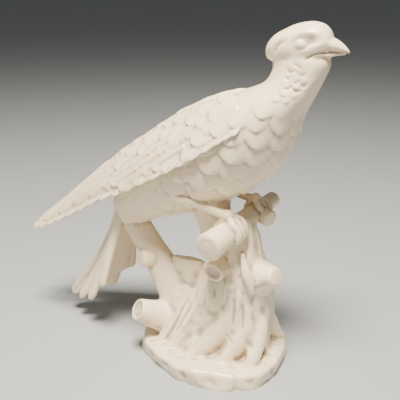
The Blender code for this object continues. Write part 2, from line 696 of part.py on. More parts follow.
def add_plume(clay, line, across, width, thickness, shape):
    """One free feather: a flat oval bar that widens from its root to a rounded tip.

    Args:
        clay: The shells to add to.
        line: Places along the feather's middle.
        across: Direction in which the feather is broad.
        width: Full width.
        thickness: Full thickness.
        shape: Share of the width at the root, thinning towards the tip and rounded length.
    """
    root_share, thinning, rounding = shape
    ahead = (line[-1] - line[0]) / np.linalg.norm(line[-1] - line[0])
    across = across - ahead * np.dot(across, ahead)
    across /= np.linalg.norm(across)
    face = np.cross(ahead, across)
    angle = turn_around(PLUME_SIDES)
    t = np.linspace(0, 1, len(line))
    past = ((t - 1 + rounding) / rounding).clip(0)
    tip = np.sqrt(np.clip(1 - past**2, PLUME_END_SHARE, 1))
    half_width = width / 2 * (root_share + (1 - root_share) * t) * tip
    half_depth = thickness / 2 * (1 - thinning * t) * np.sqrt(tip)
    broad = (half_width[:, None] * np.cos(angle)[None, :])[:, :, None] * across
    deep = (half_depth[:, None] * np.sin(angle)[None, :])[:, :, None] * face
    clay.add_loft(line[:, None, :] + broad + deep)


def add_tail_sheet(clay, middle, outer):
    """Smooth sheet on the underside of one half of the fan, from its middle line to its outer line."""
    across = outer - middle
    span = np.linalg.norm(across, axis=1)
    across /= span[:, None]
    face = np.cross(np.gradient(middle, axis=0), across)
    face *= np.sign(face[:, :1]) / np.linalg.norm(face, axis=1)[:, None]
    centre = (middle + outer) / 2 + face * TAIL_THICKNESS * TAIL_SHEET_DEPTH
    angle = turn_around(TAIL_SHEET_SIDES)
    broad = (span[:, None] / 2 * np.cos(angle)[None, :])[:, :, None] * across[:, None, :]
    deep = (TAIL_SHEET_THICKNESS / 2 * np.sin(angle))[None, :, None] * face[:, None, :]
    clay.add_loft(centre[:, None, :] + broad + deep)


def add_tail(clay):
    """Steep fan of long feathers that overlap from the middle outwards."""
    for side in SIDES:
        flip = np.array([1.0, side, 1.0])
        middle = drawn(TAIL_MIDDLE) * flip
        outer = drawn(TAIL_OUTER) * flip
        tips = drawn(TAIL_TIPS) * flip
        broad = tips[-1] - tips[0]
        for tip, share in zip(tips, np.linspace(0, 1, len(tips))):
            path = np.vstack([middle * (1 - share) + outer * share, tip])
            line = smooth_rows(path, TAIL_STEPS)
            add_plume(clay, line, broad, TAIL_FEATHER_WIDTH * UNIT, TAIL_THICKNESS, TAIL_PLUME)
        inner_edge = smooth_rows(np.vstack([middle, tips[0]]), TAIL_STEPS)[:-TAIL_SHEET_STEPS_SHORT]
        outer_edge = smooth_rows(np.vstack([outer, tips[-1]]), TAIL_STEPS)[:-TAIL_SHEET_STEPS_SHORT]
        add_tail_sheet(clay, inner_edge, outer_edge)


def branch_axis(share):
    """Place and radius on the branch at a share of its length from the near end."""
    near, far = drawn(BRANCH_NEAR_END), drawn(BRANCH_FAR_END)
    radius = BRANCH_RADII[0] * (1 - share) + BRANCH_RADII[-1] * share
    return near * (1 - share) + far * share, radius


def around_branch(share, degrees, lift):
    """Place on the branch at an angle from +X towards up, raised above its bark."""
    centre, radius = branch_axis(share)
    turn = math.radians(degrees)
    reach = radius + lift
    return centre + np.array([math.cos(turn) * reach, 0.0, math.sin(turn) * reach])


def add_branch(clay):
    """Tapering branch with a cut end on each side, and its short side stub."""
    near, middle, far = (branch_axis(share)[0] for share in (0.0, 0.5, 1.0))
    clay.add_cut_limb((far, middle, near), BRANCH_RADII[::-1])
    clay.add_cut_limb((middle, far), BRANCH_RADII[1:])
    root = branch_axis(SIDE_STUB_SHARE)[0]
    clay.add_cut_limb((root, root + drawn(SIDE_STUB_REACH)), SIDE_STUB_RADIUS)


def add_toe(clay, foot, share, angles):
    """One toe from the foot, laid round the branch through the given angles to its claw."""
    path = [foot] + [around_branch(share, angle, TOE_LIFT * TOE_RADIUS) for angle in angles]
    clay.add_tube(path, [TOE_RADIUS] * len(angles) + [CLAW_RADIUS], sides=14)


def add_legs(clay):
    """Slim legs and toes; the toes lie on the branch and curl round it."""
    near, far = drawn(BRANCH_NEAR_END), drawn(BRANCH_FAR_END)
    length = np.linalg.norm(far - near)
    for side, path in zip(SIDES, (LEG_PATH, FAR_LEG_PATH)):
        foot_share = (side * FOOT_OFFSET * UNIT - near[1]) / (far[1] - near[1])
        foot = around_branch(foot_share, FOOT_ANGLE, FOOT_LIFT * TOE_RADIUS)
        leg = drawn(path) * np.array([1.0, side, 1.0])
        clay.add_tube(np.vstack([leg, foot]), LEG_RADIUS * np.array(LEG_SPREADS[-len(path) - 1 :]))
        clay.add_ball(foot, LEG_RADIUS * LEG_SPREADS[-1])
        add_toe(clay, foot, foot_share, HIND_TOE_ANGLES)
        heel = [foot] + [around_branch(foot_share, angle, 0.0) for angle in HIND_TOE_ANGLES[:2]]
        clay.add_tube(heel, LEG_RADIUS * np.array(HEEL_SPREADS))
        for toe in range(FRONT_TOES):
            share = foot_share + (toe - (FRONT_TOES - 1) / 2) * TOE_SPACING / length
            add_toe(clay, foot, share, FRONT_TOE_ANGLES)


def add_column(clay, table, rib_depth):
    """Upright trunk from rows of height, centre x, centre y, half width and half depth."""
    slices = smooth_rows(table, TRUNK_STEPS)
    angle = turn_around(TRUNK_SIDES)
    height = slices[:, 0][:, None]
    swing, pace, drift = BARK_RIB_WANDER
    wander = swing * np.sin(pace * height) + drift * np.sin(3 * angle)[None, :]
    push = rib_depth / UNIT * np.cos(BARK_RIBS * angle[None, :] + wander)
    x = slices[:, 1][:, None] + (slices[:, 3][:, None] + push) * np.cos(angle)[None, :]
    y = slices[:, 2][:, None] + (slices[:, 4][:, None] + push) * np.sin(angle)[None, :]
    z = np.repeat(height, len(angle), axis=1)
    clay.add_loft(np.stack([x, y, z], axis=2) * UNIT)


def add_roots(clay):
    """Skirt that flares out over the base, and the round roots that run down over it."""
    angle = turn_around(SKIRT_SIDES)
    reach = np.full_like(angle, ROOT_HOLLOW_SHARE)
    for degrees, length, half_width in ROOTS:
        away = angle_apart(angle, math.radians(degrees))
        ridge = np.exp(-((away / math.radians(half_width)) ** 2))
        reach = np.maximum(reach, ROOT_HOLLOW_SHARE + (length - ROOT_HOLLOW_SHARE) * ridge)
    foot = SKIRT_FOOT_SHARE * BASE_THICKNESS
    top = BASE_THICKNESS + SKIRT_HEIGHT * UNIT
    wide, narrow = ROOT_TOP_SHARES
    rings = []
    for rise in np.linspace(0, 1, SKIRT_STEPS):
        pull = (1 - rise) ** ROOT_SWEEP
        core = ROOT_HOLLOW_SHARE * (wide + (narrow - wide) * rise)
        radius = BASE_RADIUS * (core * (1 - pull) + reach * pull)
        height = foot + (top - foot) * rise
        ring = np.column_stack([radius * np.cos(angle), radius * np.sin(angle), height + 0 * angle])
        rings.append(ring)
    clay.add_loft(rings)
    for path, radii in ROOT_RIDGES:
        clay.add_tube(drawn(path), drawn(radii))


def add_stump(clay):
    """Main trunk, leaning left trunk, web between them, stubs, knot and roots."""
    add_column(clay, TRUNK_SLICES, BARK_RIB_DEPTH)
    add_column(clay, WEB_SLICES, 0.0)
    add_roots(clay)
    clay.add_tube(drawn(LEFT_TRUNK_PATH), drawn(LEFT_TRUNK_RADII), sides=LIMB_SIDES)
    clay.add_tube(drawn(PILLAR_PATH), drawn(PILLAR_RADII), sides=LIMB_SIDES, flatten=PILLAR_FLATTENING)
    clay.add_cut_limb(drawn(LEFT_NUB), LEFT_NUB_RADII)
    clay.add_cut_limb(drawn(LEFT_STUB), LEFT_STUB_RADII)
    clay.add_cut_limb(drawn(RIGHT_STUB), RIGHT_STUB_RADII)
    clay.add_cut_limb(drawn(KNOT), KNOT_RADIUS, SUNK_FACE)
    clay.add_tube(drawn(KNOT_COLUMN), drawn(KNOT_COLUMN_RADII), sides=LIMB_SIDES)
    clay.add_tube(drawn(FRONT_RIDGE), drawn(FRONT_RIDGE_RADII), sides=16)


def angle_apart(angle, direction):
    """Signed turn from a direction to each angle, between half a turn back and half a turn on."""
    return (angle - direction + math.pi) % (2 * math.pi) - math.pi


def base_radius(angle):
    """Radius of the uneven rim at each angle, with its notch at the front."""
    count = len(BASE_OUTLINE)
    shares = np.array(BASE_OUTLINE)
    place = (angle % (2 * math.pi)) / (2 * math.pi) * count
    index = place.astype(int) % count
    t = place - np.floor(place)
    outline = curve_between(*(shares[(index + k) % count] for k in (-1, 0, 1, 2)), t)
    rough = sum(np.cos(waves * angle + phase) for waves, phase in BASE_RIM_WAVES)
    away = angle_apart(angle, BASE_RIM_NOTCH_ANGLE)
    notch = np.exp(-((2 * away * BASE_RADIUS / BASE_RIM_NOTCH_WIDTH) ** 2))
    return BASE_RADIUS * outline + BASE_RIM_ROUGHNESS * rough - BASE_RIM_NOTCH_DEPTH * notch


def chipped_rims(rim, angle):
    """Rim radius at the underside and at the top edge, chipped into flat slanting facets."""
    turn = 2 * math.pi * np.arange(RIM_FACETS) / RIM_FACETS
    number = np.arange(RIM_FACETS)
    turn += 2 * math.pi / RIM_FACETS * RIM_FACET_SHIFT * wobble(number, 1, RIM_FACET_SEED)
    chip = RIM_FACET_DEPTH * (1 + wobble(number, 2, RIM_FACET_SEED)) / 2
    distance = np.interp(turn % (2 * math.pi), angle, rim) - chip
    slope = RIM_FACET_SLOPE * wobble(number, 3, RIM_FACET_SEED) * BASE_THICKNESS / 2
    facing = np.maximum(np.cos(angle[:, None] - turn[None, :]), 0.5)
    return [np.minimum(rim, ((distance + side * slope)[None, :] / facing).min(axis=1)) for side in SIDES]


def add_base(clay):
    """Low rocky disc; its lower part runs past the underside and is cut off level."""
    angle = turn_around(RIM_SIDES)
    low_rim, high_rim = chipped_rims(base_radius(angle), angle)
    profile = [(UNDERCUT_SHARE, -UNDERCUT)]
    profile += [(share, rise * BASE_THICKNESS) for share, rise in BASE_SIDE]
    shoulder = BASE_EDGE_ROUND / BASE_RADIUS
    for turn in np.linspace(0, math.pi / 2, EDGE_ROUND_STEPS):
        share = 1 - shoulder * (1 - math.cos(turn))
        profile.append((share, BASE_THICKNESS - BASE_EDGE_ROUND * (1 - math.sin(turn))))
    profile += [(share, rise * BASE_THICKNESS) for share, rise in BASE_TOP]
    rings = []
    for share, height in profile:
        lump = BASE_LUMP_SHARE * smooth_step(*BASE_LUMP_HEIGHTS, height / BASE_THICKNESS)
        level = height * (1 + lump * np.cos(BASE_LUMPS * angle + BASE_LUMP_PHASE))
        rim = low_rim + (high_rim - low_rim) * min(max(height / BASE_THICKNESS, 0.0), 1.0)
        rings.append(np.column_stack([rim * share * np.cos(angle), rim * share * np.sin(angle), level]))
    clay.add_loft(rings)


def evaluated_copy(thing):
    """Plain mesh of an object with its modifiers applied."""
    depsgraph = bpy.context.evaluated_depsgraph_get()
    return bpy.data.meshes.new_from_object(thing.evaluated_get(depsgraph), depsgraph=depsgraph)


def keep_largest_shell(mesh):
    """Drop any sealed hollow or loose crumb, and keep the outer skin alone."""
    bm = bmesh.new()
    bm.from_mesh(mesh)
    unseen = set(bm.verts)
    shells = []
    while unseen:
        seed = unseen.pop()
        shell = [seed]
        queue = [seed]
        while queue:
            vertex = queue.pop()
            for edge in vertex.link_edges:
                other = edge.other_vert(vertex)
                if other in unseen:
                    unseen.discard(other)
                    shell.append(other)
                    queue.append(other)
        shells.append(shell)
    shells.sort(key=len)
    for shell in shells[:-1]:
        bmesh.ops.delete(bm, geom=shell, context="VERTS")
    bm.to_mesh(mesh)
    bm.free()


def cut_level(mesh):
    """Cut the mesh off at the underside, close it with one flat face and split it into triangles."""
    bm = bmesh.new()
    bm.from_mesh(mesh)
    everything = bm.verts[:] + bm.edges[:] + bm.faces[:]
    cut = bmesh.ops.bisect_plane(
        bm, geom=everything, plane_co=(0, 0, 0), plane_no=(0, 0, 1), clear_inner=True, dist=1e-7
    )
    edges = [item for item in cut["geom_cut"] if isinstance(item, bmesh.types.BMEdge)]
    bmesh.ops.contextual_create(bm, geom=edges)
    bmesh.ops.triangulate(bm, faces=bm.faces[:])
    bmesh.ops.recalc_face_normals(bm, faces=bm.faces[:])
    bm.to_mesh(mesh)
    bm.free()


def blend_joints(mesh):
    """Draw the skin smooth inside the blended zones, as a wet finger does."""
    count = len(mesh.vertices)
    points = np.array([vertex.co[:] for vertex in mesh.vertices])
    first, second = np.array([edge.vertices[:] for edge in mesh.edges]).T
    degree = np.bincount(first, minlength=count) + np.bincount(second, minlength=count)
    low, full, fading, high = ROOT_BLEND_HEIGHTS
    height = points[:, 2] / UNIT
    reach = np.linalg.norm(points[:, :2], axis=1) / UNIT
    weight = smooth_step(low, full, height) * smooth_step(high, fading, height)
    weight = weight * smooth_step(*ROOT_BLEND_RADII, reach)
    for centre, zone in HEAD_BLENDS + STUMP_BLENDS:
        away = np.linalg.norm(points - drawn(centre), axis=1) / (zone * UNIT)
        weight = np.maximum(weight, smooth_step(1.0, BLEND_CORE, away))
    for _ in range(max(1, round((BLEND_REACH / SKIN_CELL) ** 2))):
        columns = [
            np.bincount(first, column[second], count) + np.bincount(second, column[first], count)
            for column in points.T
        ]
        middle = np.stack(columns, axis=1) / degree[:, None]
        points += BLEND_STRENGTH * weight[:, None] * (middle - points)
    mesh.vertices.foreach_set("co", points.ravel())
    mesh.update()


def fuse(clay, name):
    """Fuse the overlapping shells into one softened, faceted solid."""
    mesh = bpy.data.meshes.new(name)
    mesh.from_pydata([tuple(point) for point in clay.points], [], clay.faces)
    bm = bmesh.new()
    bm.from_mesh(mesh)
    bmesh.ops.recalc_face_normals(bm, faces=bm.faces[:])
    bm.to_mesh(mesh)
    bm.free()
    thing = bpy.data.objects.new(name, mesh)
    bpy.context.scene.collection.objects.link(thing)
    remesh = thing.modifiers.new("Skin", "REMESH")
    remesh.mode = "VOXEL"
    remesh.voxel_size = SKIN_CELL
    soften = thing.modifiers.new("Soften", "SMOOTH")
    soften.factor = SOFTENING
    soften.iterations = max(1, round(SOFTENING_REACH / SKIN_CELL))
    skin = evaluated_copy(thing)
    keep_largest_shell(skin)
    blend_joints(skin)
    thing.modifiers.clear()
    thing.data = skin
    thin = thing.modifiers.new("Facets", "DECIMATE")
    thin.ratio = FACET_TARGET / (2 * len(skin.polygons))
    facets = evaluated_copy(thing)
    thing.modifiers.clear()
    thing.data = facets
    cut_level(facets)
    return thing


def porcelain():
    """Warm white glazed porcelain."""
    material = bpy.data.materials.new("porcelain")
    material.use_nodes = True
    shader = material.node_tree.nodes["Principled BSDF"]
    shader.inputs["Base Color"].default_value = PORCELAIN_COLOUR
    shader.inputs["Roughness"].default_value = PORCELAIN_ROUGHNESS
    shader.inputs["Metallic"].default_value = 0.0
    return material


def main():
    """Clear the scene and build the figure."""
    for old in list(bpy.data.objects):
        bpy.data.objects.remove(old)
    clay = Clay()
    add_base(clay)
    add_stump(clay)
    add_branch(clay)
    add_legs(clay)
    add_tail(clay)
    add_body(clay)
    for side in SIDES:
        add_wing(clay, side)
    add_head(clay)
    figure = fuse(clay, "bird_figurine")
    figure.data.materials.append(porcelain())


main()
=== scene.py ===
"""White porcelain figure of a perched bird, cast in one with its branch, stump and base.

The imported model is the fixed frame. One finished skin stands for its single node: the same forms
are laid up again in fine steps, carved feathers and bark strokes are laid over them, the whole is
fused, softened as a glaze softens an edge, carved with a few tool strokes and cut off level.
"""

import logging
import math
from collections.abc import Iterator
from contextlib import contextmanager
from dataclasses import dataclass
from enum import Enum

import bmesh
import bpy
import numpy as np
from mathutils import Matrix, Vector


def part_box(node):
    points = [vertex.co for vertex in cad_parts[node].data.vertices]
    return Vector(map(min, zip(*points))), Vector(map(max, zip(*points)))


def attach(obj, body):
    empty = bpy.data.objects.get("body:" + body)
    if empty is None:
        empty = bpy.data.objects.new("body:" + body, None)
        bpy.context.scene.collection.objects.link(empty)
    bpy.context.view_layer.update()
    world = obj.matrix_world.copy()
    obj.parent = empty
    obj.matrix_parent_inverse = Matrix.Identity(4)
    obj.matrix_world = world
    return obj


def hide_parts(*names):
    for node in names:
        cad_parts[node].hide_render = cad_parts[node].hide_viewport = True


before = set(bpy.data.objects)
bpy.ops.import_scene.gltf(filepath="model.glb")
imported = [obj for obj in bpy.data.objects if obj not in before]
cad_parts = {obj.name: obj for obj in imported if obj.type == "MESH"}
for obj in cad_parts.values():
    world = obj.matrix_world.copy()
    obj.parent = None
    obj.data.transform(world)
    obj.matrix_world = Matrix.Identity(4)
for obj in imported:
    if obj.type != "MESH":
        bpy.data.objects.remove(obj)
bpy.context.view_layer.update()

LOG = logging.getLogger("figurine")
NODE = "bird_figurine"
BODY = "root"
PIECE = "porcelain_bird"

# The pose is drawn in millimetres, and UNIT turns a drawn length into metres at the frame's height.
DRAWN_TOP = 250.8
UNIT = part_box(NODE)[1].z / DRAWN_TOP

Array = np.ndarray
SIDES = (-1.0, 1.0)
UP = np.array([0.0, 0.0, 1.0])
ACROSS = np.array([0.0, 1.0, 0.0])


def drawn(rows: object) -> Array:
    """Turn drawn millimetres into metres at the frame's height."""
    return np.asarray(rows, dtype=float) * UNIT


def turn_around(count: int) -> Array:
    """Angles evenly spread round a ring."""
    return np.linspace(0, 2 * math.pi, count, endpoint=False)


def unit_rows(vectors: Array) -> Array:
    """Vectors of length one along the last axis."""
    return vectors / (np.linalg.norm(vectors, axis=-1, keepdims=True) + 1e-12)


def smooth_step(low: float, high: float, value: Array) -> Array:
    """Soft rise from 0 at low to 1 at high.

    Args:
        low: Where the rise starts.
        high: Where it is over; it may be less than low for a fall.
        value: Places to read it at.

    Returns:
        A share from 0 to 1 for each place.
    """
    share = np.clip((value - low) / (high - low), 0, 1)
    return share * share * (3 - 2 * share)


def curve_between(rows: list, t: Array) -> Array:
    """Smooth curve between the middle two of four values, at a share t of the way.

    Args:
        rows: The four values, one before the stretch and one after it.
        t: The share.

    Returns:
        The values on the curve.
    """
    before, start, end, after = rows
    first = (end - before) * t
    second = (2 * before - 5 * start + 4 * end - after) * t**2
    third = (3 * start - before - 3 * end + after) * t**3
    return start + 0.5 * (first + second + third)


def smooth_rows(rows: object, count: int) -> Array:
    """Carry a smooth curve through rows of numbers and read it at evenly spread places.

    Args:
        rows: Rows to pass through.
        count: Number of rows wanted.

    Returns:
        The rows read from the curve.
    """
    rows = np.asarray(rows, dtype=float)
    last = len(rows) - 1
    padded = np.vstack([2 * rows[0] - rows[1], rows, 2 * rows[-1] - rows[-2]])
    place = np.linspace(0, last, count)
    index = np.minimum(place.astype(int), last - 1)
    return curve_between([padded[index + k] for k in range(4)], (place - index)[:, None])


def mirror(side: float) -> Array:
    """Factors that leave a place as it is for side 1 and mirror it across the middle plane for -1."""
    return np.array([1.0, side, 1.0])


def hops(line: Array) -> Array:
    """Distance from each place or ring of a line to the next."""
    return np.linalg.norm(np.diff(line, axis=0), axis=-1)


def run_up(steps: Array) -> Array:
    """Sum of the steps so far, from 0."""
    return np.concatenate([[0], np.cumsum(steps)])


def ring_hops(rings: Array) -> Array:
    """Distance from each place of a ring to the next one round it."""
    return np.linalg.norm(np.roll(rings, -1, axis=1) - rings, axis=2)


def as_columns(rows: list) -> list[Array]:
    """One array for each column of a list of rows."""
    return [np.array(values) for values in zip(*rows)]


def angle_apart(angle: Array, direction: float) -> Array:
    """Signed turn from a direction to each angle, between half a turn back and half a turn on."""
    return (angle - direction + math.pi) % (2 * math.pi) - math.pi


def ring_normals(rings: Array) -> Array:
    """Outward directions over a stack of rings that run round their own middles.

    Args:
        rings: The stack.

    Returns:
        A direction for each place.
    """
    along = np.gradient(rings, axis=0)
    around = np.roll(rings, -1, axis=1) - np.roll(rings, 1, axis=1)
    normals = unit_rows(np.cross(around, along))
    outward = rings - rings.mean(axis=1)[:, None, :]
    return normals * np.sign((normals * outward).sum(axis=2))[:, :, None]


def oval_stack(middle: Array, wide: Array, across: Array, deep: Array, face: Array, sides: int) -> Array:
    """Rings of an oval section along a line.

    Args:
        middle: Places along the line.
        wide: Half width at each place.
        across: Direction of the width, one for all or one for each place.
        deep: Half thickness at each place.
        face: Direction of the thickness, likewise.
        sides: Points around the section.

    Returns:
        The rings.
    """
    angle = turn_around(sides)
    broad = (wide[:, None] * np.cos(angle))[:, :, None] * across[..., None, :]
    thick = (deep[:, None] * np.sin(angle))[:, :, None] * face[..., None, :]
    return middle[:, None, :] + broad + thick


def upright_ring(angle: Array, radius: Array, height: object) -> Array:
    """Ring round the upright axis, level or wavy."""
    return np.column_stack([radius * np.cos(angle), radius * np.sin(angle), height + 0 * angle])


def read_values(items: object, name: str, kind: type, width: int = 1) -> Array:
    """Read one property of every item of a mesh into a flat array."""
    values = np.empty(len(items) * width, dtype=kind)
    items.foreach_get(name, values)
    return values


def write_attribute(mesh: bpy.types.Mesh, name: str, values: Array) -> None:
    """Give a mesh an attribute on its points: one number or one vector each."""
    values = np.asarray(values, dtype=np.float32)
    kind, field = ("FLOAT_VECTOR", "vector") if values.ndim == 2 else ("FLOAT", "value")
    mesh.attributes.new(name, kind, "POINT").data.foreach_set(field, values.ravel())


class Clay:
    """Closed shells, in metres, that are later fused into one skin."""

    def __init__(self) -> None:
        """Start with nothing."""
        self.points: list[Array] = []
        self.faces: list[list[int]] = []
        self.count = 0

    def add_mesh(self, points: Array, faces: list) -> None:
        """Add a closed mesh.

        Args:
            points: Its places.
            faces: Rows of indices into them.
        """
        self.faces.extend([[index + self.count for index in row] for row in faces])
        self.points.append(np.asarray(points, dtype=float))
        self.count += len(points)

    def add_loft(self, rings: Array) -> None:
        """Close a stack of rings, each an array of places, with a pole at either end.

        Args:
            rings: The stack, from one pole to the other.
        """
        rings = np.asarray(rings, dtype=float)
        stack, around, _ = rings.shape
        points = np.vstack([rings.reshape(-1, 3), rings[0].mean(axis=0), rings[-1].mean(axis=0)])
        low = (np.arange(stack - 1) * around)[:, None]
        here = np.arange(around)[None, :]
        after = (here + 1) % around
        quads = np.stack([low + here, low + after, low + around + after, low + around + here], axis=2)
        top, pole = (stack - 1) * around, stack * around
        pairs = list(zip(here[0].tolist(), after[0].tolist()))
        caps = [[pole, b, a] for a, b in pairs] + [[pole + 1, top + a, top + b] for a, b in pairs]
        self.add_mesh(points, quads.reshape(-1, 4).tolist() + caps)

    def add_mirrored(self, other: "Clay") -> None:
        """Add what another lump of clay holds, and its mirror image across the middle plane."""
        points = np.vstack(other.points)
        self.add_mesh(points, other.faces)
        self.add_mesh(points * mirror(-1.0), [row[::-1] for row in other.faces])

    def add_tube(self, path: object, radii: object, sides: int = 24, flatten: float = 1.0) -> None:
        """Sweep a round section along a smooth path.

        Args:
            path: Drawn places that the middle passes through.
            radii: Drawn radius at each place, or one radius.
            sides: Points around the section.
            flatten: Share of the radius kept in the upward direction.
        """
        self.add_loft(tube_rings(path, radii, sides, flatten))

    def add_ball(self, centre: object, radii: object, pole_gap: float = 0.02) -> None:
        """Add an ellipsoid.

        Args:
            centre: Drawn place of its middle.
            radii: Drawn half sizes.
            pole_gap: Angle left out at either pole, in radians.
        """
        half = drawn(radii)
        level = np.linspace(pole_gap, math.pi - pole_gap, 60)[:, None]
        angle = turn_around(80)[None, :]
        x = half[0] * np.sin(level) * np.cos(angle)
        y = half[1] * np.sin(level) * np.sin(angle)
        z = np.cos(level) * half[2] + 0 * angle
        self.add_loft(np.stack([x, y, z], axis=2) + drawn(centre))

    def to_object(self, name: str) -> bpy.types.Object:
        """Make one linked object of all the shells, facing outwards.

        Args:
            name: Its name.

        Returns:
            The object.
        """
        thing = mesh_object(name, np.vstack(self.points), self.faces)
        with opened(thing.data) as bm:
            bmesh.ops.recalc_face_normals(bm, faces=bm.faces[:])
        return thing


def tube_rings(path: object, radii: object, sides: int, flatten: float = 1.0) -> Array:
    """Rings of a round section that follows a smooth path without twisting.

    Args:
        path: Drawn places that the middle passes through.
        radii: Drawn radius at each place, or one radius.
        sides: Points around the section.
        flatten: Share of the radius kept in the upward direction.

    Returns:
        The rings, in metres.
    """
    path = drawn(path)
    radii = np.broadcast_to(drawn(radii), len(path))
    steps = max(6, int(hops(path).sum() / Casting.draw_step))
    line = smooth_rows(np.column_stack([path, radii]), steps)
    middle, radius = line[:, :3], line[:, 3]
    ahead = unit_rows(np.gradient(middle, axis=0))
    helper = UP if abs(ahead[0][2]) < 0.8 else ACROSS
    angle = turn_around(sides)
    rings = []
    for place, direction, size in zip(middle, ahead, radius):
        side = unit_rows(np.cross(direction, helper))
        helper = np.cross(side, direction)
        spread = np.outer(np.cos(angle), side) + flatten * np.outer(np.sin(angle), helper)
        rings.append(place + size * spread)
    return np.array(rings)


@contextmanager
def opened(mesh: bpy.types.Mesh) -> Iterator[bmesh.types.BMesh]:
    """Open a mesh for editing and write it back afterwards.

    Args:
        mesh: The mesh.

    Returns:
        The mesh as it is edited.
    """
    bm = bmesh.new()
    bm.from_mesh(mesh)
    yield bm
    bm.to_mesh(mesh)
    bm.free()


def link_object(name: str, data: bpy.types.ID) -> bpy.types.Object:
    """Make an object of a mesh, lamp or camera and link it to the scene.

    Args:
        name: Its name.
        data: What it shows.

    Returns:
        The object.
    """
    thing = bpy.data.objects.new(name, data)
    bpy.context.scene.collection.objects.link(thing)
    return thing


def mesh_object(name: str, points: Array, faces: list) -> bpy.types.Object:
    """Make a linked mesh object.

    Args:
        name: Its name.
        points: Its places, in metres.
        faces: Rows of indices into them.

    Returns:
        The object.
    """
    mesh = bpy.data.meshes.new(name)
    mesh.from_pydata(points.tolist(), [], faces)
    return link_object(name, mesh)


def loft_object(name: str, rings: Array) -> bpy.types.Object:
    """Make an object of one closed stack of rings, for strokes to bend to."""
    core = Clay()
    core.add_loft(rings)
    return core.to_object(name)


def discard(thing: bpy.types.Object) -> None:
    """Remove an object that only helped to make another."""
    bpy.data.objects.remove(thing)


def evaluated_copy(thing: bpy.types.Object) -> bpy.types.Mesh:
    """Plain mesh of an object with its modifiers applied."""
    depsgraph = bpy.context.evaluated_depsgraph_get()
    return bpy.data.meshes.new_from_object(thing.evaluated_get(depsgraph), depsgraph=depsgraph)


class Signal:
    """A shader socket that takes part in arithmetic."""

    def __init__(self, graph: "Graph", socket: bpy.types.NodeSocket) -> None:
        """Hold a socket of a graph's tree."""
        self.graph = graph
        self.socket = socket

    def _math(self, operation: str, first: object, second: object) -> "Signal":
        """Add one Math node."""
        node = self.graph.add("ShaderNodeMath", {"operation": operation}, {0: first, 1: second})
        return Signal(self.graph, node.outputs[0])

    def __add__(self, other: object) -> "Signal":
        """Sum."""
        return self._math("ADD", self, other)

    def __mul__(self, other: object) -> "Signal":
        """Product."""
        return self._math("MULTIPLY", self, other)

    def __sub__(self, other: object) -> "Signal":
        """Difference."""
        return self._math("SUBTRACT", self, other)

    def __rsub__(self, other: object) -> "Signal":
        """Difference from a number."""
        return self._math("SUBTRACT", other, self)

    __radd__ = __add__
    __rmul__ = __mul__


class Graph:
    """Adds nodes to one node tree, for a shader or for geometry."""

    def __init__(self, tree: bpy.types.NodeTree) -> None:
        """Hold the tree."""
        self.tree = tree

    def add(self, kind: str, settings: dict | None = None, values: dict | None = None) -> bpy.types.Node:
        """Add one node.

        Args:
            kind: The node's type.
            settings: Its properties, set first.
            values: A number, colour, socket or signal for each input, by name or place.

        Returns:
            The node.
        """
        node = self.tree.nodes.new(kind)
        for name, value in (settings or {}).items():
            setattr(node, name, value)
        for key, value in (values or {}).items():
            self.give(node.inputs[key], value)
        return node

    def give(self, target: bpy.types.NodeSocket, value: object) -> None:
        """Link a signal or socket to an input, or set its value.

        Args:
            target: The input.
            value: A number, colour, socket or signal.
        """
        source = value.socket if isinstance(value, Signal) else value
        if isinstance(source, bpy.types.NodeSocket):
            self.tree.links.new(source, target)
        else:
            target.default_value = value

    def mix(self, share: object, below: object, above: object) -> bpy.types.NodeSocket:
        """Mix two colours by a share."""
        values = {"Factor": share, "A": below, "B": above}
        return self.add("ShaderNodeMix", {"data_type": "RGBA"}, values).outputs["Result"]

    def signal(
        self, kind: str, settings: dict | None = None, values: dict | None = None, output: object = 0
    ) -> Signal:
        """Add one node and take one of its outputs.

        Args:
            kind: The node's type.
            settings: Its properties.
            values: Its inputs.
            output: Name or place of the output.

        Returns:
            The output as a signal.
        """
        return Signal(self, self.add(kind, settings, values).outputs[output])


class Stroke(Enum):
    """Outline of one stroke that is laid on a surface again and again."""

    SCALE = "scale"
    QUILL = "quill"
    BARK = "bark"


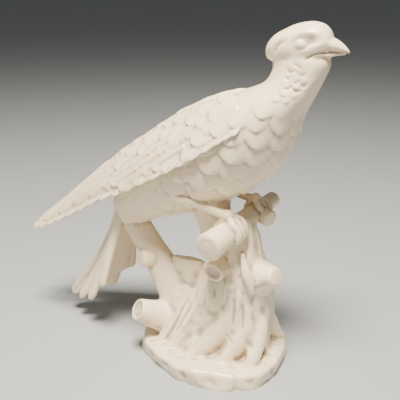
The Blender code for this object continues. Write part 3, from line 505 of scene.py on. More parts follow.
@dataclass(frozen=True)
class StrokeForm:
    """Low shell of one stroke: one long, one broad, with its height kept as a share of its lift."""

    stroke: Stroke
    steps_along: int = 12
    steps_across: int = 7
    shoulder: float = 0.45
    root_share: float = 0.72
    tip_power: float = 2.3
    crown: float = 0.40
    rise_power: float = 1.5
    root_height: float = 0.08
    sunk: float = 1.1
    quill_shoulder: float = 0.82
    quill_slope: float = 0.43
    quill_growth: float = 0.15
    shaft_height: float = 0.25
    shaft_width: float = 0.25
    bark_fullness: float = 0.8
    bark_rise: float = 0.7
    bark_crown: float = 0.9

    def half_width(self, along: Array) -> Array:
        """Half width at each place along the stroke.

        Args:
            along: Shares of the stroke's length.

        Returns:
            Half widths, as shares of its breadth.
        """
        if self.stroke is Stroke.BARK:
            return 0.5 * np.sin(math.pi * np.clip(along, 0.02, 0.98)) ** self.bark_fullness
        shoulder = self.quill_shoulder if self.stroke is Stroke.QUILL else self.shoulder
        past = np.clip((along - shoulder) / (1 - shoulder), 0, 0.995)
        tip = (1 - past**self.tip_power) ** (1 / self.tip_power)
        root = self.root_share + (1 - self.root_share) * np.sin(np.clip(along / shoulder, 0, 1) * math.pi / 2)
        return 0.5 * tip * root

    def height(self, along: Array, across: Array) -> Array:
        """Height as a share of the lift; across runs from -1 on the upper edge to 1 on the lower.

        Args:
            along: Shares of the stroke's length.
            across: Shares of its half width.

        Returns:
            The heights.
        """
        if self.stroke is Stroke.BARK:
            return np.sin(math.pi * along) ** self.bark_rise * (1 - self.bark_crown * across**2)
        if self.stroke is Stroke.QUILL:
            shaft = self.shaft_height * np.exp(-((across / self.shaft_width) ** 2))
            blade = 0.42 + self.quill_growth * along + self.quill_slope * across
            return blade + shaft * (1 - along**6)
        rise = self.root_height + 0.92 * along**self.rise_power
        return rise * (1 - self.crown * across**2)

    def build(self) -> bpy.types.Object:
        """Make the shell, flat, with its height in an attribute named rise.

        Returns:
            The stroke's object.
        """
        along = np.sin(np.linspace(0.0, 1.0, self.steps_along) * math.pi / 2)
        across = np.linspace(-1, 1, self.steps_across)
        x = (along - 0.5)[:, None] + 0 * across[None, :]
        y = self.half_width(along)[:, None] * across[None, :]
        flat = np.stack([x, y, 0 * x], axis=2)
        rise = self.height(along[:, None], across[None, :])
        under = np.full_like(rise, -self.sunk)
        clay = Clay()
        clay.add_loft(np.concatenate([flat, flat[:, ::-1]], axis=1))
        thing = mesh_object(self.stroke.value, np.vstack(clay.points), clay.faces)
        levels = np.concatenate([rise, under[:, ::-1]], axis=1).ravel()
        ends = [float(rise[end].mean() - self.sunk) / 2 for end in (0, -1)]
        write_attribute(thing.data, "rise", np.concatenate([levels, ends]))
        return thing


@dataclass
class StrokePlan:
    """Where strokes go: one row of each array for each stroke."""

    place: Array
    facing: Array
    flow: Array
    length: Array
    breadth: Array
    lift: Array

    def build(self) -> bpy.types.Object:
        """Make a cloud of points that carries the plan in attributes.

        Returns:
            The cloud's object.
        """
        thing = mesh_object("plan", self.place, [])
        for name in ("facing", "flow", "length", "breadth", "lift"):
            write_attribute(thing.data, name, getattr(self, name))
        return thing


class StrokeLayer:
    """Geometry Nodes that lay one stroke at every point of a plan and bend it to a surface."""

    inputs = {
        "Plan": "Geometry",
        "Stroke": "Object",
        "Surface": "Object",
        "Sway": "Float",
        "Seed": "Int",
        "Finish": "Material",
    }

    def __init__(self, material: bpy.types.Material) -> None:
        """Build the tree once; each layer sets its named inputs.

        Args:
            material: Finish of the strokes.
        """
        self.material = material
        self.tree = bpy.data.node_groups.new("carved_strokes", "GeometryNodeTree")
        face = self.tree.interface
        self.sockets = {
            name: face.new_socket(name=name, in_out="INPUT", socket_type=f"NodeSocket{kind}")
            for name, kind in self.inputs.items()
        }
        face.new_socket(name="Shells", in_out="OUTPUT", socket_type="NodeSocketGeometry")
        self._wire()

    def _named(self, graph: Graph, name: str, kind: str = "FLOAT") -> Signal:
        """Read one attribute of the plan."""
        settings, values = {"data_type": kind}, {"Name": name}
        return graph.signal("GeometryNodeInputNamedAttribute", settings, values, "Attribute")

    def _wire(self) -> None:
        """Join the nodes: instance, turn, realize, press on to the surface, give the finish."""
        graph = Graph(self.tree)
        group = graph.add("NodeGroupInput").outputs
        facing, flow = (self._named(graph, name, "FLOAT_VECTOR") for name in ("facing", "flow"))
        sizes = ("length", "breadth", "rise", "lift")
        length, breadth, rise, lift = (self._named(graph, name) for name in sizes)
        axes = {"primary_axis": "Z", "secondary_axis": "X"}
        turned = graph.signal("FunctionNodeAxesToRotation", axes, {0: facing, 1: flow})
        most = Signal(graph, group["Sway"])
        sway = graph.add("FunctionNodeRandomValue", {"data_type": "FLOAT"}, {"Seed": group["Seed"]})
        limits = [socket for socket in sway.inputs if socket.name in ("Min", "Max") and socket.enabled]
        for limit, value in zip(limits, (most * -1.0, most)):
            graph.give(limit, value)
        swayed = next(socket for socket in sway.outputs if socket.enabled)
        twist = graph.signal("ShaderNodeCombineXYZ", None, {"Z": swayed})
        twist = graph.signal("FunctionNodeEulerToRotation", None, {0: twist})
        local = {"rotation_space": "LOCAL"}
        turned = graph.signal("FunctionNodeRotateRotation", local, {0: turned, 1: twist})
        size = graph.signal("ShaderNodeCombineXYZ", None, {"X": length, "Y": breadth, "Z": 1.0})
        stroke = {"Object": group["Stroke"], "As Instance": True}
        stroke = graph.signal("GeometryNodeObjectInfo", None, stroke, "Geometry")
        laid = {"Points": group["Plan"], "Instance": stroke, "Rotation": turned, "Scale": size}
        laid = graph.signal("GeometryNodeInstanceOnPoints", None, laid)
        real = graph.signal("GeometryNodeRealizeInstances", None, {0: laid})
        surface = graph.signal("GeometryNodeObjectInfo", None, {"Object": group["Surface"]}, "Geometry")
        faces = {"target_element": "FACES"}
        nearest = graph.signal("GeometryNodeProximity", faces, {0: surface}, "Position")
        outward = {"Mesh": surface, "Value": graph.signal("GeometryNodeInputNormal")}
        sampled = {"data_type": "FLOAT_VECTOR"}
        outward = graph.signal("GeometryNodeSampleNearestSurface", sampled, outward, "Value")
        offset = {0: outward, "Scale": rise * lift}
        offset = graph.signal("ShaderNodeVectorMath", {"operation": "SCALE"}, offset)
        pressed = {"Geometry": real, "Position": nearest, "Offset": offset}
        pressed = graph.signal("GeometryNodeSetPosition", None, pressed)
        finished = {"Geometry": pressed, "Material": group["Finish"]}
        finished = graph.signal("GeometryNodeSetMaterial", None, finished)
        graph.add("NodeGroupOutput", None, {"Shells": finished})

    def lay(
        self,
        clay: Clay,
        plan: StrokePlan,
        form: StrokeForm,
        surface: bpy.types.Object,
        sway: float,
        seed: int,
    ) -> int:
        """Lay a plan's strokes over a surface and add them to the clay.

        Args:
            clay: The shells to add to.
            plan: Where the strokes go.
            form: The stroke's own shape.
            surface: Closed mesh that the strokes bend to.
            sway: Largest turn of a stroke either way, in radians.
            seed: Fixes the turns.

        Returns:
            Number of strokes laid.
        """
        cloud, stroke = plan.build(), form.build()
        modifier = cloud.modifiers.new("strokes", "NODES")
        modifier.node_group = self.tree
        values = {"Stroke": stroke, "Surface": surface, "Sway": sway, "Seed": seed, "Finish": self.material}
        for name, value in values.items():
            modifier[self.sockets[name].identifier] = value
        shells = evaluated_copy(cloud)
        points = read_values(shells.vertices, "co", np.float32, 3).reshape(-1, 3)
        clay.add_mesh(points, [list(face.vertices) for face in shells.polygons])
        cloud.modifiers.clear()
        for thing in (cloud, stroke):
            discard(thing)
        return len(plan.place)


@dataclass(frozen=True)
class Casting:
    """How the clay becomes one skin; sizes in metres."""

    draw_step: float = 0.0008
    cell: float = 0.00055
    softening: float = 0.5
    softening_passes: int = 1
    root_passes: int = 110
    blend_passes: int = 60
    hand_marks: float = 0.15
    hand_mark_size: float = 17.0
    stump_top: float = 100.0
    # crease_passes and crease_depth shape the mask for the painted crease shade and grime.
    crease_passes: int = 5
    crease_depth: float = 0.00020
    triangles: int = 190000
    quick_cell: float = 0.0008


@dataclass
class Body:
    """Neck, breast and belly with their carved feathers; the pose is drawn in millimetres.

    Each slice is its point on the back, its point on the breast or belly, and half its width.
    """

    slices: tuple = (
        (54, 244, 68, 240, 5), (47, 238, 75, 232.5, 9.4), (41.5, 229, 79, 225.5, 13),
        (41, 220, 75.8, 216.5, 15), (36, 212, 71, 206.5, 18.5), (22, 206, 66.5, 197.5, 23.5),
        (6, 199.5, 62.5, 187, 28.5), (-10, 192, 58.5, 175, 32), (-27, 181, 52.5, 161, 33.5),
        (-43, 169, 41, 147, 33.5), (-58, 157, 24, 134, 32), (-70, 146, 4, 124, 29),
        (-79, 137, -20, 113, 24.5), (-83, 128, -43, 104.5, 20), (-85, 119, -58, 97.5, 16),
        (-86, 110, -68, 91, 12),
    )
    front_squareness: float = 0.84
    square_heights: tuple = (186.0, 206.0)
    face_fade: tuple = (228.0, 220.0)
    neck_fade: tuple = (188.0, 206.0)
    vent_fade: tuple = (0.0, -38.0)
    vent_facing: tuple = (-0.85, -0.4)
    neck_calm: float = 0.92
    throat_share: float = 0.75
    vent_calm: float = 0.9
    least_lift: float = 0.00012
    variation: float = 0.10
    columns: int = 12
    neck_columns: int = 19
    neck_height: float = 203.0
    row_pitch: float = 0.84
    overlap_along: float = 1.75
    overlap_across: float = 1.20
    lift_share: float = 0.17
    neck_lift_share: float = 0.22
    inset_share: float = 0.55
    throat_edge: float = 0.10
    throat_edge_width: float = 0.36
    shift: float = 0.14
    sway: float = 0.16
    seed: int = 3
    steps: int = 260
    around: int = 240

    def rings(self) -> Array:
        """Smooth slices from the throat to the root of the tail.

        Returns:
            The rings, in metres.
        """
        rows = smooth_rows(self.slices, self.steps)
        angle = turn_around(self.around)
        back = np.column_stack([rows[:, 0], 0 * rows[:, 0], rows[:, 1]]) * UNIT
        front = np.column_stack([rows[:, 2], 0 * rows[:, 2], rows[:, 3]]) * UNIT
        centre = (back + front) / 2
        reach = (back - front) / 2
        width = rows[:, 4] * UNIT
        neck = smooth_step(*self.square_heights, (rows[:, 1] + rows[:, 3]) / 2)[:, None]
        power = 1 - (1 - self.front_squareness) * neck * (np.cos(angle) < 0)[None, :]
        along = np.sign(np.cos(angle))[None, :] * np.abs(np.cos(angle))[None, :] ** power
        across = np.sign(np.sin(angle))[None, :] * np.abs(np.sin(angle))[None, :] ** power
        return (
            centre[:, None, :]
            + reach[:, None, :] * along[:, :, None]
            + (width[:, None] * across)[:, :, None] * ACROSS
        )

    def strength(self, place: Array, share: Array) -> Array:
        """How deeply the feathers are carved, from 0 to 1.

        Args:
            place: Places on the body, in metres.
            share: Share of the way round, from 0 on the back over 0.5 on the breast to 1.

        Returns:
            The strength at each place.
        """
        height = place[..., 2] / UNIT
        facing_front = np.cos((share - 0.5) * 2 * math.pi)
        below_face = smooth_step(*self.face_fade, height)
        neck = smooth_step(*self.neck_fade, height)
        throat_edge = np.exp(-(((facing_front - self.throat_edge) / self.throat_edge_width) ** 2))
        on_neck = 1 - neck * (self.neck_calm - self.throat_share * throat_edge)
        behind = smooth_step(*self.vent_fade, place[..., 0] / UNIT)
        vent = 1 - self.vent_calm * behind * smooth_step(*self.vent_facing, facing_front)
        return below_face * on_neck * vent

    def plan(self, rings: Array, columns: int, on_neck: bool) -> StrokePlan:
        """Rows of feathers whose size follows the girth; they point away from the head.

        Args:
            rings: The smooth body.
            columns: Feathers in each row.
            on_neck: Whether to keep those on the neck, or those below it.

        Returns:
            The plan.
        """
        normals = ring_normals(rings)
        hop = ring_hops(rings)
        girth = hop.sum(axis=1)
        row_at = run_up(hops(rings).mean(axis=1) / (self.row_pitch * girth[:-1] / columns))
        chord = unit_rows(rings[:, self.around // 2] - rings[:, 0])
        rng = np.random.default_rng(self.seed)
        found = []
        for row in range(1, int(row_at[-1])):
            for column in range(columns):
                index = int(np.interp(row + self.shift * rng.uniform(-1, 1), row_at, np.arange(len(row_at))))
                step = (column + 0.5 * (row % 2) + self.shift * rng.uniform(-1, 1)) / columns % 1.0
                around = run_up(hop[index]) / girth[index]
                spot = int(np.interp(step, around, np.arange(self.around + 1))) % self.around
                found.append((index, spot, step, 1 + self.variation * rng.uniform(-1, 1)))
        index, spot, step, scale = as_columns(found)
        place = rings[index, spot]
        facing = normals[index, spot]
        away = np.stack([chord[index, 2], 0 * index, -chord[index, 0]], axis=1)
        breadth = self.overlap_across * girth[index] / columns * scale
        length = self.overlap_along * self.row_pitch * girth[index] / columns
        share = self.neck_lift_share if on_neck else self.lift_share
        lift = share * breadth * self.strength(place, step)
        keep = (lift > self.least_lift) & ((place[:, 2] > self.neck_height * UNIT) == on_neck)
        plan = (place, facing, away, length, breadth, lift)
        return StrokePlan(*(values[keep] for values in plan))

    def shape(self, clay: Clay, layer: StrokeLayer) -> int:
        """Add the body and its feathers.

        Args:
            clay: The shells to add to.
            layer: Lays the feathers.

        Returns:
            Number of feathers.
        """
        rings = self.rings()
        normals = ring_normals(rings)
        lift = self.lift_share * ring_hops(rings).sum(axis=1)[:, None] / self.columns
        share = np.linspace(0, 1, self.around, endpoint=False)[None, :]
        inset = self.inset_share * lift * self.strength(rings, share)
        inner = rings - normals * inset[:, :, None]
        surface = loft_object("body_surface", inner)
        clay.add_loft(inner)
        count = 0
        for columns, on_neck in ((self.columns, False), (self.neck_columns, True)):
            plan = self.plan(inner, columns, on_neck)
            count += layer.lay(clay, plan, StrokeForm(Stroke.SCALE), surface, self.sway, self.seed)
        discard(surface)
        return count


@dataclass(frozen=True)
class ToolStroke:
    """One stroke of a modelling tool in drawn millimetres; below 0 it sinks, above 0 it raises."""

    width: float
    depth: float
    path: tuple
    mirrored: bool = False


def tool_strokes(*rows: tuple, mirrored: bool = False) -> tuple:
    """Tool strokes from rows of width, depth and the places that each one passes."""
    return tuple(ToolStroke(width, depth, tuple(path), mirrored) for width, depth, *path in rows)


def neck_chips(y: float, *rows: tuple) -> tuple:
    """Tool strokes on both sides of the neck at one y, from rows of width, depth and pairs of x and z."""
    placed = [(width, depth, *((x, y, z) for x, z in path)) for width, depth, *path in rows]
    return tool_strokes(*placed, mirrored=True)


@dataclass(frozen=True)
class Plume:
    """Free feather in drawn millimetres: an oval bar that widens from its root to a rounded tip."""

    width: float
    thickness: float
    root_share: float = 0.55
    thinning: float = 0.25
    tip_rounding: float = 0.08
    sides: int = 36

    def rings(self, line: Array, across: Array) -> Array:
        """Rings of one feather.

        Args:
            line: Places along its middle, in metres.
            across: Direction in which it is broad.

        Returns:
            The rings, in metres.
        """
        ahead = unit_rows(line[-1] - line[0])
        across = unit_rows(across - ahead * np.dot(across, ahead))
        face = np.cross(ahead, across)
        t = np.linspace(0, 1, len(line))
        past = ((t - 1 + self.tip_rounding) / self.tip_rounding).clip(0)
        tip = np.sqrt(np.clip(1 - past**2, 0.03, 1))
        width = self.width * UNIT / 2 * (self.root_share + (1 - self.root_share) * t) * tip
        thick = self.thickness * UNIT / 2 * (1 - self.thinning * t) * tip**0.5
        return oval_stack(line, width, across, thick, face, self.sides)


@dataclass
class Head:
    """Head with a domed crown, eyes and beak; rows are place along X, top, bottom and half width."""

    skull: tuple = (
        (36.6, 233, 228.5, 3), (38.2, 237.8, 226.5, 7), (42.5, 242.4, 224.5, 10.6),
        (49, 246, 222.5, 12.9), (56, 249, 221.5, 14), (64, 250.6, 222, 14), (70, 250.3, 223.5, 12.6),
        (74.5, 248.6, 226, 10.6), (77.6, 245.4, 229, 8.2), (78.8, 242.4, 232, 5.4),
    )
    upper_beak: tuple = (
        (62, 239, 229, 10.8), (68.5, 241, 230, 11.6), (74.5, 241.8, 231.6, 9.6),
        (79.5, 241.2, 232.4, 7.2), (84.5, 238.6, 232.6, 5), (88.2, 235.4, 232.2, 2.9),
        (90.2, 233.2, 231.4, 1.1),
    )
    lower_beak: tuple = (
        (60, 228.5, 222, 9), (67, 231, 225.5, 10.8), (74, 232.4, 228.2, 8.8), (80, 232.8, 229.8, 6),
        (85, 232.4, 230.8, 3.2), (87.6, 232, 231, 1.4),
    )
    eye: tuple = (61.8, 11.7, 237.0)
    eye_radii: tuple = (3.9, 2.1, 2.9)
    sockets: tuple = (((63.5, 14, 238), 6.2, 2.3), ((69.5, 12, 239.6), 4.4, 1.7))
    strokes: tuple = tool_strokes(
        (1.9, -2, (52, -12.8, 239.8), (48.4, -12.2, 237.2), (46, -11.6, 233.6), (45, -11, 229.8)),
        (2, 0.6, (46.6, -11.4, 240), (43, -10.2, 236.4), (41.2, -9, 232)),
        (1.8, 0.9, (55, -13.6, 241.5), (61, -13.4, 244), (67, -12.4, 244.8), (72.5, -10, 243.4)),
        (1.6, 0.7, (62, -13.6, 232.6), (67, -12.8, 234.6), (73, -10.4, 237), (79, -6.4, 239.6)),
        (
            0.8, -1.3, (66, -12.4, 228.2), (70.5, -11.2, 231), (76, -8.9, 232.4), (82, -6, 232.8),
            (88.4, -2.4, 232.2),
        ),
        mirrored=True,
    ) + neck_chips(
        -14.0,
        (0.7, -0.7, (59, 226), (62, 224.2), (63.2, 225.6)),
        (0.9, -0.9, (55.2, 222.6), (57, 220.2), (60.4, 221.4)),
        (1.1, -0.7, (62.6, 220.6), (64.6, 218.6), (67, 219.8)),
        (0.7, -0.9, (54, 217.6), (56.2, 215.8), (57.2, 217.8)),
        (0.9, -0.7, (59, 217.2), (61, 214.4), (64, 215.6)),
        (1.1, -0.9, (64.6, 214.8), (66, 212), (68.4, 213.8)),
        (0.7, -0.7, (52.4, 212.4), (55.4, 210.2), (58.4, 211.8)),
        (0.9, -0.9, (60, 211.4), (61.4, 208.8), (64.4, 209.4)),
    )
    blends: tuple = (
        ((60, -13.5, 223.5), 9.5), ((60, 13.5, 223.5), 9.5), ((61, -13.5, 229.5), 5.5),
        ((61, 13.5, 229.5), 5.5), ((48, -12, 223), 8), ((48, 12, 223), 8), ((75, 0, 225), 8),
    )

    def oval_rings(self, table: tuple, steps: int, around: int) -> Array:
        """Upright oval rings from rows of place along X, top, bottom and half width.

        Args:
            table: The rows.
            steps: Number of rings.
            around: Points in each ring.

        Returns:
            The rings, in metres.
        """
        rows = smooth_rows(table, steps) * UNIT
        angle = turn_around(around)
        middle = (rows[:, 1] + rows[:, 2]) / 2
        half = (rows[:, 1] - rows[:, 2]) / 2
        x = np.repeat(rows[:, 0][:, None], around, axis=1)
        y = rows[:, 3][:, None] * np.sin(angle)[None, :]
        z = middle[:, None] + half[:, None] * np.cos(angle)[None, :]
        return np.stack([x, y, z], axis=2)

    def shape(self, clay: Clay) -> None:
        """Add the head, both eyes and the beak.

        Args:
            clay: The shells to add to.
        """
        rings = self.oval_rings(self.skull, 100, 120)
        for side in SIDES:
            for place, width, depth in self.sockets:
                centre = drawn(place) * mirror(side)
                distance = np.linalg.norm(rings - centre, axis=2) / (width * UNIT)
                rings[:, :, 1] -= side * depth * UNIT * np.exp(-(distance**2))
        clay.add_loft(rings)
        clay.add_loft(self.oval_rings(self.upper_beak, 60, 60))
        clay.add_loft(self.oval_rings(self.lower_beak, 50, 54))
        for side in SIDES:
            clay.add_ball(self.eye * mirror(side), self.eye_radii)


@dataclass
class Wing:
    """One folded wing; each slice is a point on its upper edge and one on its lower edge."""

    slices: tuple = (
        (27, 20, 198, 29, 25, 192), (22, 15, 203, 28, 31, 184.5), (10, 10, 203, 18, 34.5, 176.5),
        (-8, 7, 196.5, 2, 36.5, 165.5), (-28, 5, 185.5, -17, 36.5, 154),
        (-48, 4, 172.5, -38, 34.5, 142.5), (-70, 3.5, 157.5, -61, 30.5, 130),
        (-92, 3.5, 141, -86, 25.5, 118.5), (-114, 4.5, 122.5, -110, 20.5, 104.5),
        (-136, 6.5, 104, -133, 17, 92), (-153, 9, 91, -151, 14.5, 83), (-162, 11.5, 83, -161, 13, 79.5),
    )
    bulge: float = 5.0
    shoulder_bulge: float = 3.2
    shoulder_reach: float = 0.13
    inner_bulge: float = 0.8
    thickness: float = 6.0
    edge_thinning: float = 0.6
    thin_from: float = 0.6
    end_tapers: tuple = (0.04, 0.10)
    least_taper: float = 0.25
    steps: int = 280
    across_steps: int = 60
    covert_pitch: float = 12.0
    covert_overlap: tuple = (1.95, 1.34)
    covert_lift: float = 1.8
    covert_lean: float = 0.21
    covert_shifts: tuple = (0.20, 0.22)
    covert_variation: float = 0.20
    first_covert: float = 0.55
    covert_edge: float = 0.97
    coverts_end: float = 0.56
    covert_seed: int = 7
    droop: float = math.radians(30)
    quill_pitch: float = 6.0
    quill_length: float = 92.0
    quill_lift: float = 2.0
    quill_overlap: float = 1.15
    quill_overrun: float = -3.0
    quills_start: float = 0.3
    quill_margins: tuple = (0.4, 0.5, 0.3)
    edge_tips: int = 19
    edge_tip: Plume = Plume(8.5, 2.4, 0.6, 0.1, 0.35, 24)
    edge_tip_reach: tuple = (0.07, 0.95)
    edge_tip_roots: tuple = (0.5, 0.15)
    edge_tip_length: float = 17.0
    edge_tip_droop: float = math.radians(5)
    sway: float = 0.2

    def surface(self) -> tuple[Array, Array, Array, Array]:
        """Work out the outer face.

        Returns:
            The face, its outward directions, its upper edge and the directions across it.
        """
        rows = smooth_rows(self.slices, self.steps) * UNIT
        upper, lower = rows[:, 0:3], rows[:, 3:6]
        across = np.linspace(0, 1, self.across_steps)
        spread = lower - upper
        outward = unit_rows(np.cross(np.gradient(upper, axis=0), spread))
        outward *= np.sign(outward[:, 1])[:, None]
        width = np.linalg.norm(spread, axis=1)
        along = np.linspace(0, 1, self.steps)
        shoulder = self.shoulder_bulge * np.exp(-((along / self.shoulder_reach) ** 2))
        rise = (self.bulge * width / width.max() + shoulder) * UNIT
        arch = np.sin(math.pi * across**0.85)[None, :] ** 0.8 * rise[:, None]
        flat = upper[:, None, :] + spread[:, None, :] * across[None, :, None]
        return flat + outward[:, None, :] * arch[:, :, None], outward, upper, spread

    def blade(self) -> Array:
        """Closed rings of the plain wing: the outer face, then an inner face that sinks in the body.

        Returns:
            The rings, in metres.
        """
        outer, outward, upper, spread = self.surface()
        along = np.linspace(0, 1, self.steps)
        across = np.linspace(0, 1, self.across_steps)
        flat = upper[:, None, :] + spread[:, None, :] * across[None, :, None]
        arch = ((outer - flat) * outward[:, None, :]).sum(axis=2)
        root, end = self.end_tapers
        taper = np.clip(np.minimum(along / root, (1 - along) / end), self.least_taper, 1)[:, None]
        thinned = 1 - self.edge_thinning * smooth_step(self.thin_from, 1.0, across)[None, :]
        depth = arch * self.inner_bulge - self.thickness * UNIT * taper * thinned
        inner = flat + outward[:, None, :] * depth[:, :, None]
        return np.concatenate([outer, inner[:, ::-1]], axis=1)

    def _row(self, index: Array, share: Array) -> tuple[Array, Array, Array]:
        """Places, outward directions and the way along the wing at rows of the face and shares across.

        Args:
            index: Rows of the face.
            share: Shares of the way across it.

        Returns:
            The places, the outward directions and the ways along.
        """
        outer, outward, upper, _ = self.surface()
        column = np.clip(share * (self.across_steps - 1), 0, self.across_steps - 1).astype(int)
        ahead = unit_rows(np.gradient(upper, axis=0))[index]
        return outer[index, column], outward[index], ahead

    def _spans(self) -> tuple[Array, Array, Array]:
        """Distance gone along the upper edge, the way across the face and its width at each slice."""
        _, _, upper, spread = self.surface()
        return run_up(hops(upper)), spread, np.linalg.norm(spread, axis=1)

    def coverts(self) -> StrokePlan:
        """Short rounded feathers over the front half, in staggered rows.

        Returns:
            The plan.
        """
        travel, spread, width = self._spans()
        pitch = self.covert_pitch * UNIT
        down_shift, along_shift = self.covert_shifts
        rng = np.random.default_rng(self.covert_seed)
        found = []
        reach = travel[-1] * self.coverts_end
        for row in range(int(reach / pitch) + 2):
            count = int(width[min(len(width) - 1, int(np.searchsorted(travel, row * pitch)))] / pitch) + 2
            for column in range(count):
                place = (column + 0.5 * (row % 2) - 0.25) * pitch + down_shift * pitch * rng.uniform(-1, 1)
                along = (row + self.covert_lean * column + along_shift * rng.uniform(-1, 1)) * pitch
                index = min(len(width) - 1, int(np.searchsorted(travel, along)))
                if self.first_covert * pitch < along < reach and place < width[index] * self.covert_edge:
                    scale = 1 + self.covert_variation * rng.uniform(-1, 1)
                    found.append((index, place / width[index], scale))
        index, share, scale = as_columns(found)
        place, facing, ahead = self._row(index, share)
        down = unit_rows(spread[index])
        flow = ahead * math.cos(self.droop) + down * math.sin(self.droop)
        along, across = self.covert_overlap
        lift = np.full(len(index), self.covert_lift * UNIT) * scale
        return StrokePlan(place, facing, flow, along * pitch * scale, across * pitch * scale, lift)

    def quills(self) -> StrokePlan:
        """Long feathers beside the upper edge; each one ends where the lower edge runs past it.

        Returns:
            The plan.
        """
        travel, _, width = self._spans()
        start = int(self.steps * self.quills_start)
        first, last, edge = self.quill_margins
        found = []
        offset = first * self.quill_pitch * UNIT
        while offset < width[start:].max() - self.quill_pitch * UNIT * last:
            wide = np.nonzero(width[start:] > offset + self.quill_pitch * UNIT * edge)[0]
            end = travel[start + wide.max()] + self.quill_overrun * UNIT
            length = min(self.quill_length * UNIT, end - travel[start])
            index = int(np.searchsorted(travel, end - length / 2))
            found.append((index, offset / width[index], length))
            offset += self.quill_pitch * UNIT
        index, share, length = as_columns(found)
        place, facing, ahead = self._row(index, share)
        breadth = np.full(len(index), self.quill_overlap * self.quill_pitch * UNIT)
        lift = np.full(len(index), self.quill_lift * UNIT)
        return StrokePlan(place, facing, ahead, length, breadth, lift)

    def lower_tips(self, clay: Clay) -> None:
        """Add free feather tips along the lower edge, which leave it scalloped.

        Args:
            clay: The shells to add to.
        """
        rows = smooth_rows(self.slices, self.steps) * UNIT
        lower, spread = rows[:, 3:6], rows[:, 3:6] - rows[:, 0:3]
        ahead = unit_rows(np.gradient(lower, axis=0))
        down = unit_rows(spread)
        back, up = self.edge_tip_roots
        for share in np.linspace(*self.edge_tip_reach, self.edge_tips):
            index = int(share * (self.steps - 1))
            flow = ahead[index] * math.cos(self.edge_tip_droop) + down[index] * math.sin(self.edge_tip_droop)
            length = self.edge_tip_length * UNIT
            start = lower[index] - ahead[index] * length * back - down[index] * length * up
            line = start + np.linspace(0, 1, 24)[:, None] * flow * length
            clay.add_loft(self.edge_tip.rings(line, down[index]))

    def shape(self, clay: Clay, layer: StrokeLayer) -> int:
        """Add both wings with their feathers.

        Args:
            clay: The shells to add to.
            layer: Lays the feathers.

        Returns:
            Number of feathers on one wing.
        """
        half = Clay()
        half.add_loft(self.blade())
        surface = half.to_object("wing_surface")
        self.lower_tips(half)
        scale, quill = StrokeForm(Stroke.SCALE), StrokeForm(Stroke.QUILL, steps_along=30)
        count = layer.lay(half, self.coverts(), scale, surface, self.sway, self.covert_seed)
        count += layer.lay(half, self.quills(), quill, surface, 0.0, 1)
        discard(surface)
        clay.add_mirrored(half)
        return count


@dataclass
class Tail:
    """Steep fan of long feathers: its middle and outermost lines from the roots down, and every tip."""

    middle: tuple = ((-80, 0, 126), (-87.5, 0, 94), (-105, 0, 58))
    outer: tuple = ((-76, 5, 124), (-79.5, 11.5, 94), (-86.5, 18, 61))
    tips: tuple = ((-136, 0, 17), (-123, 7.5, 19), (-107.5, 15, 24.5), (-91, 20.5, 43))
    plume: Plume = Plume(11.2, 7.6, 0.42, 0.25, 0.08)
    sheet_thickness: float = 4.4
    sheet_depth: float = 2.2
    sheet_short: int = 5
    steps: int = 110

    def sheet(self, middle: Array, outer: Array) -> Array:
        """Rings of the smooth sheet on the underside of one half, between its two edge lines.

        Args:
            middle: Its line in the middle plane.
            outer: Its outermost line.

        Returns:
            The rings, in metres.
        """
        across = outer - middle
        span = np.linalg.norm(across, axis=1)
        across = unit_rows(across)
        face = unit_rows(np.cross(np.gradient(middle, axis=0), across))
        face *= np.sign(face[:, :1])
        centre = (middle + outer) / 2 + face * self.sheet_depth * UNIT
        deep = np.full(len(centre), self.sheet_thickness * UNIT / 2)
        return oval_stack(centre, span / 2, across, deep, face, 72)

    def shape(self, clay: Clay) -> None:
        """Add every feather of the fan and the sheet beneath each half.

        Args:
            clay: The shells to add to.
        """
        for side in SIDES:
            tables = (self.middle, self.outer, self.tips)
            middle, outer, tips = (drawn(rows) * mirror(side) for rows in tables)
            lines = []
            for tip, share in zip(tips, np.linspace(0, 1, len(tips))):
                path = np.vstack([middle * (1 - share) + outer * share, tip])
                lines.append(smooth_rows(path, self.steps))
                clay.add_loft(self.plume.rings(lines[-1], tips[-1] - tips[0]))
            clay.add_loft(self.sheet(lines[0][: -self.sheet_short], lines[-1][: -self.sheet_short]))


@dataclass
class Branch:
    """Branch across the bird, with a cut end on each side and a short side stub."""

    near_end: tuple = (15.5, -43.0, 105.5)
    far_end: tuple = (29.5, 43.0, 116.0)
    near_radius: float = 10.0
    far_radius: float = 6.0
    mid_radii: tuple = (7.8, 7.6, 6.6)
    stub_share: float = 0.72
    stub_reach: tuple = (12.5, -6.0, -2.0)
    stub_radius: float = 6.4

    def axis(self, share: float) -> tuple[Array, float]:
        """Drawn place and radius at a share of the length from the near end."""
        near, far = np.array(self.near_end), np.array(self.far_end)
        return near * (1 - share) + far * share, self.near_radius * (1 - share) + self.far_radius * share

    def around(self, share: float, degrees: float, lift: float) -> Array:
        """Drawn place at an angle from +X towards up, raised above the bark."""
        centre, radius = self.axis(share)
        turn = math.radians(degrees)
        return centre + (radius + lift) * np.array([math.cos(turn), 0.0, math.sin(turn)])

    def shape(self, clay: Clay) -> None:
        """Add the branch, sawn at both ends, and its stub.

        Args:
            clay: The shells to add to.
        """
        for shares, radii in (
            ((1.0, 0.5, 0.0), (self.far_radius, self.mid_radii[0], self.near_radius)),
            ((0.5, 0.8, 1.0), (*self.mid_radii[1:], self.far_radius)),
        ):
            add_cut_limb(clay, [self.axis(share)[0] for share in shares], radii)
        root = self.axis(self.stub_share)[0]
        add_cut_limb(clay, [root, root + np.array(self.stub_reach)], self.stub_radius)


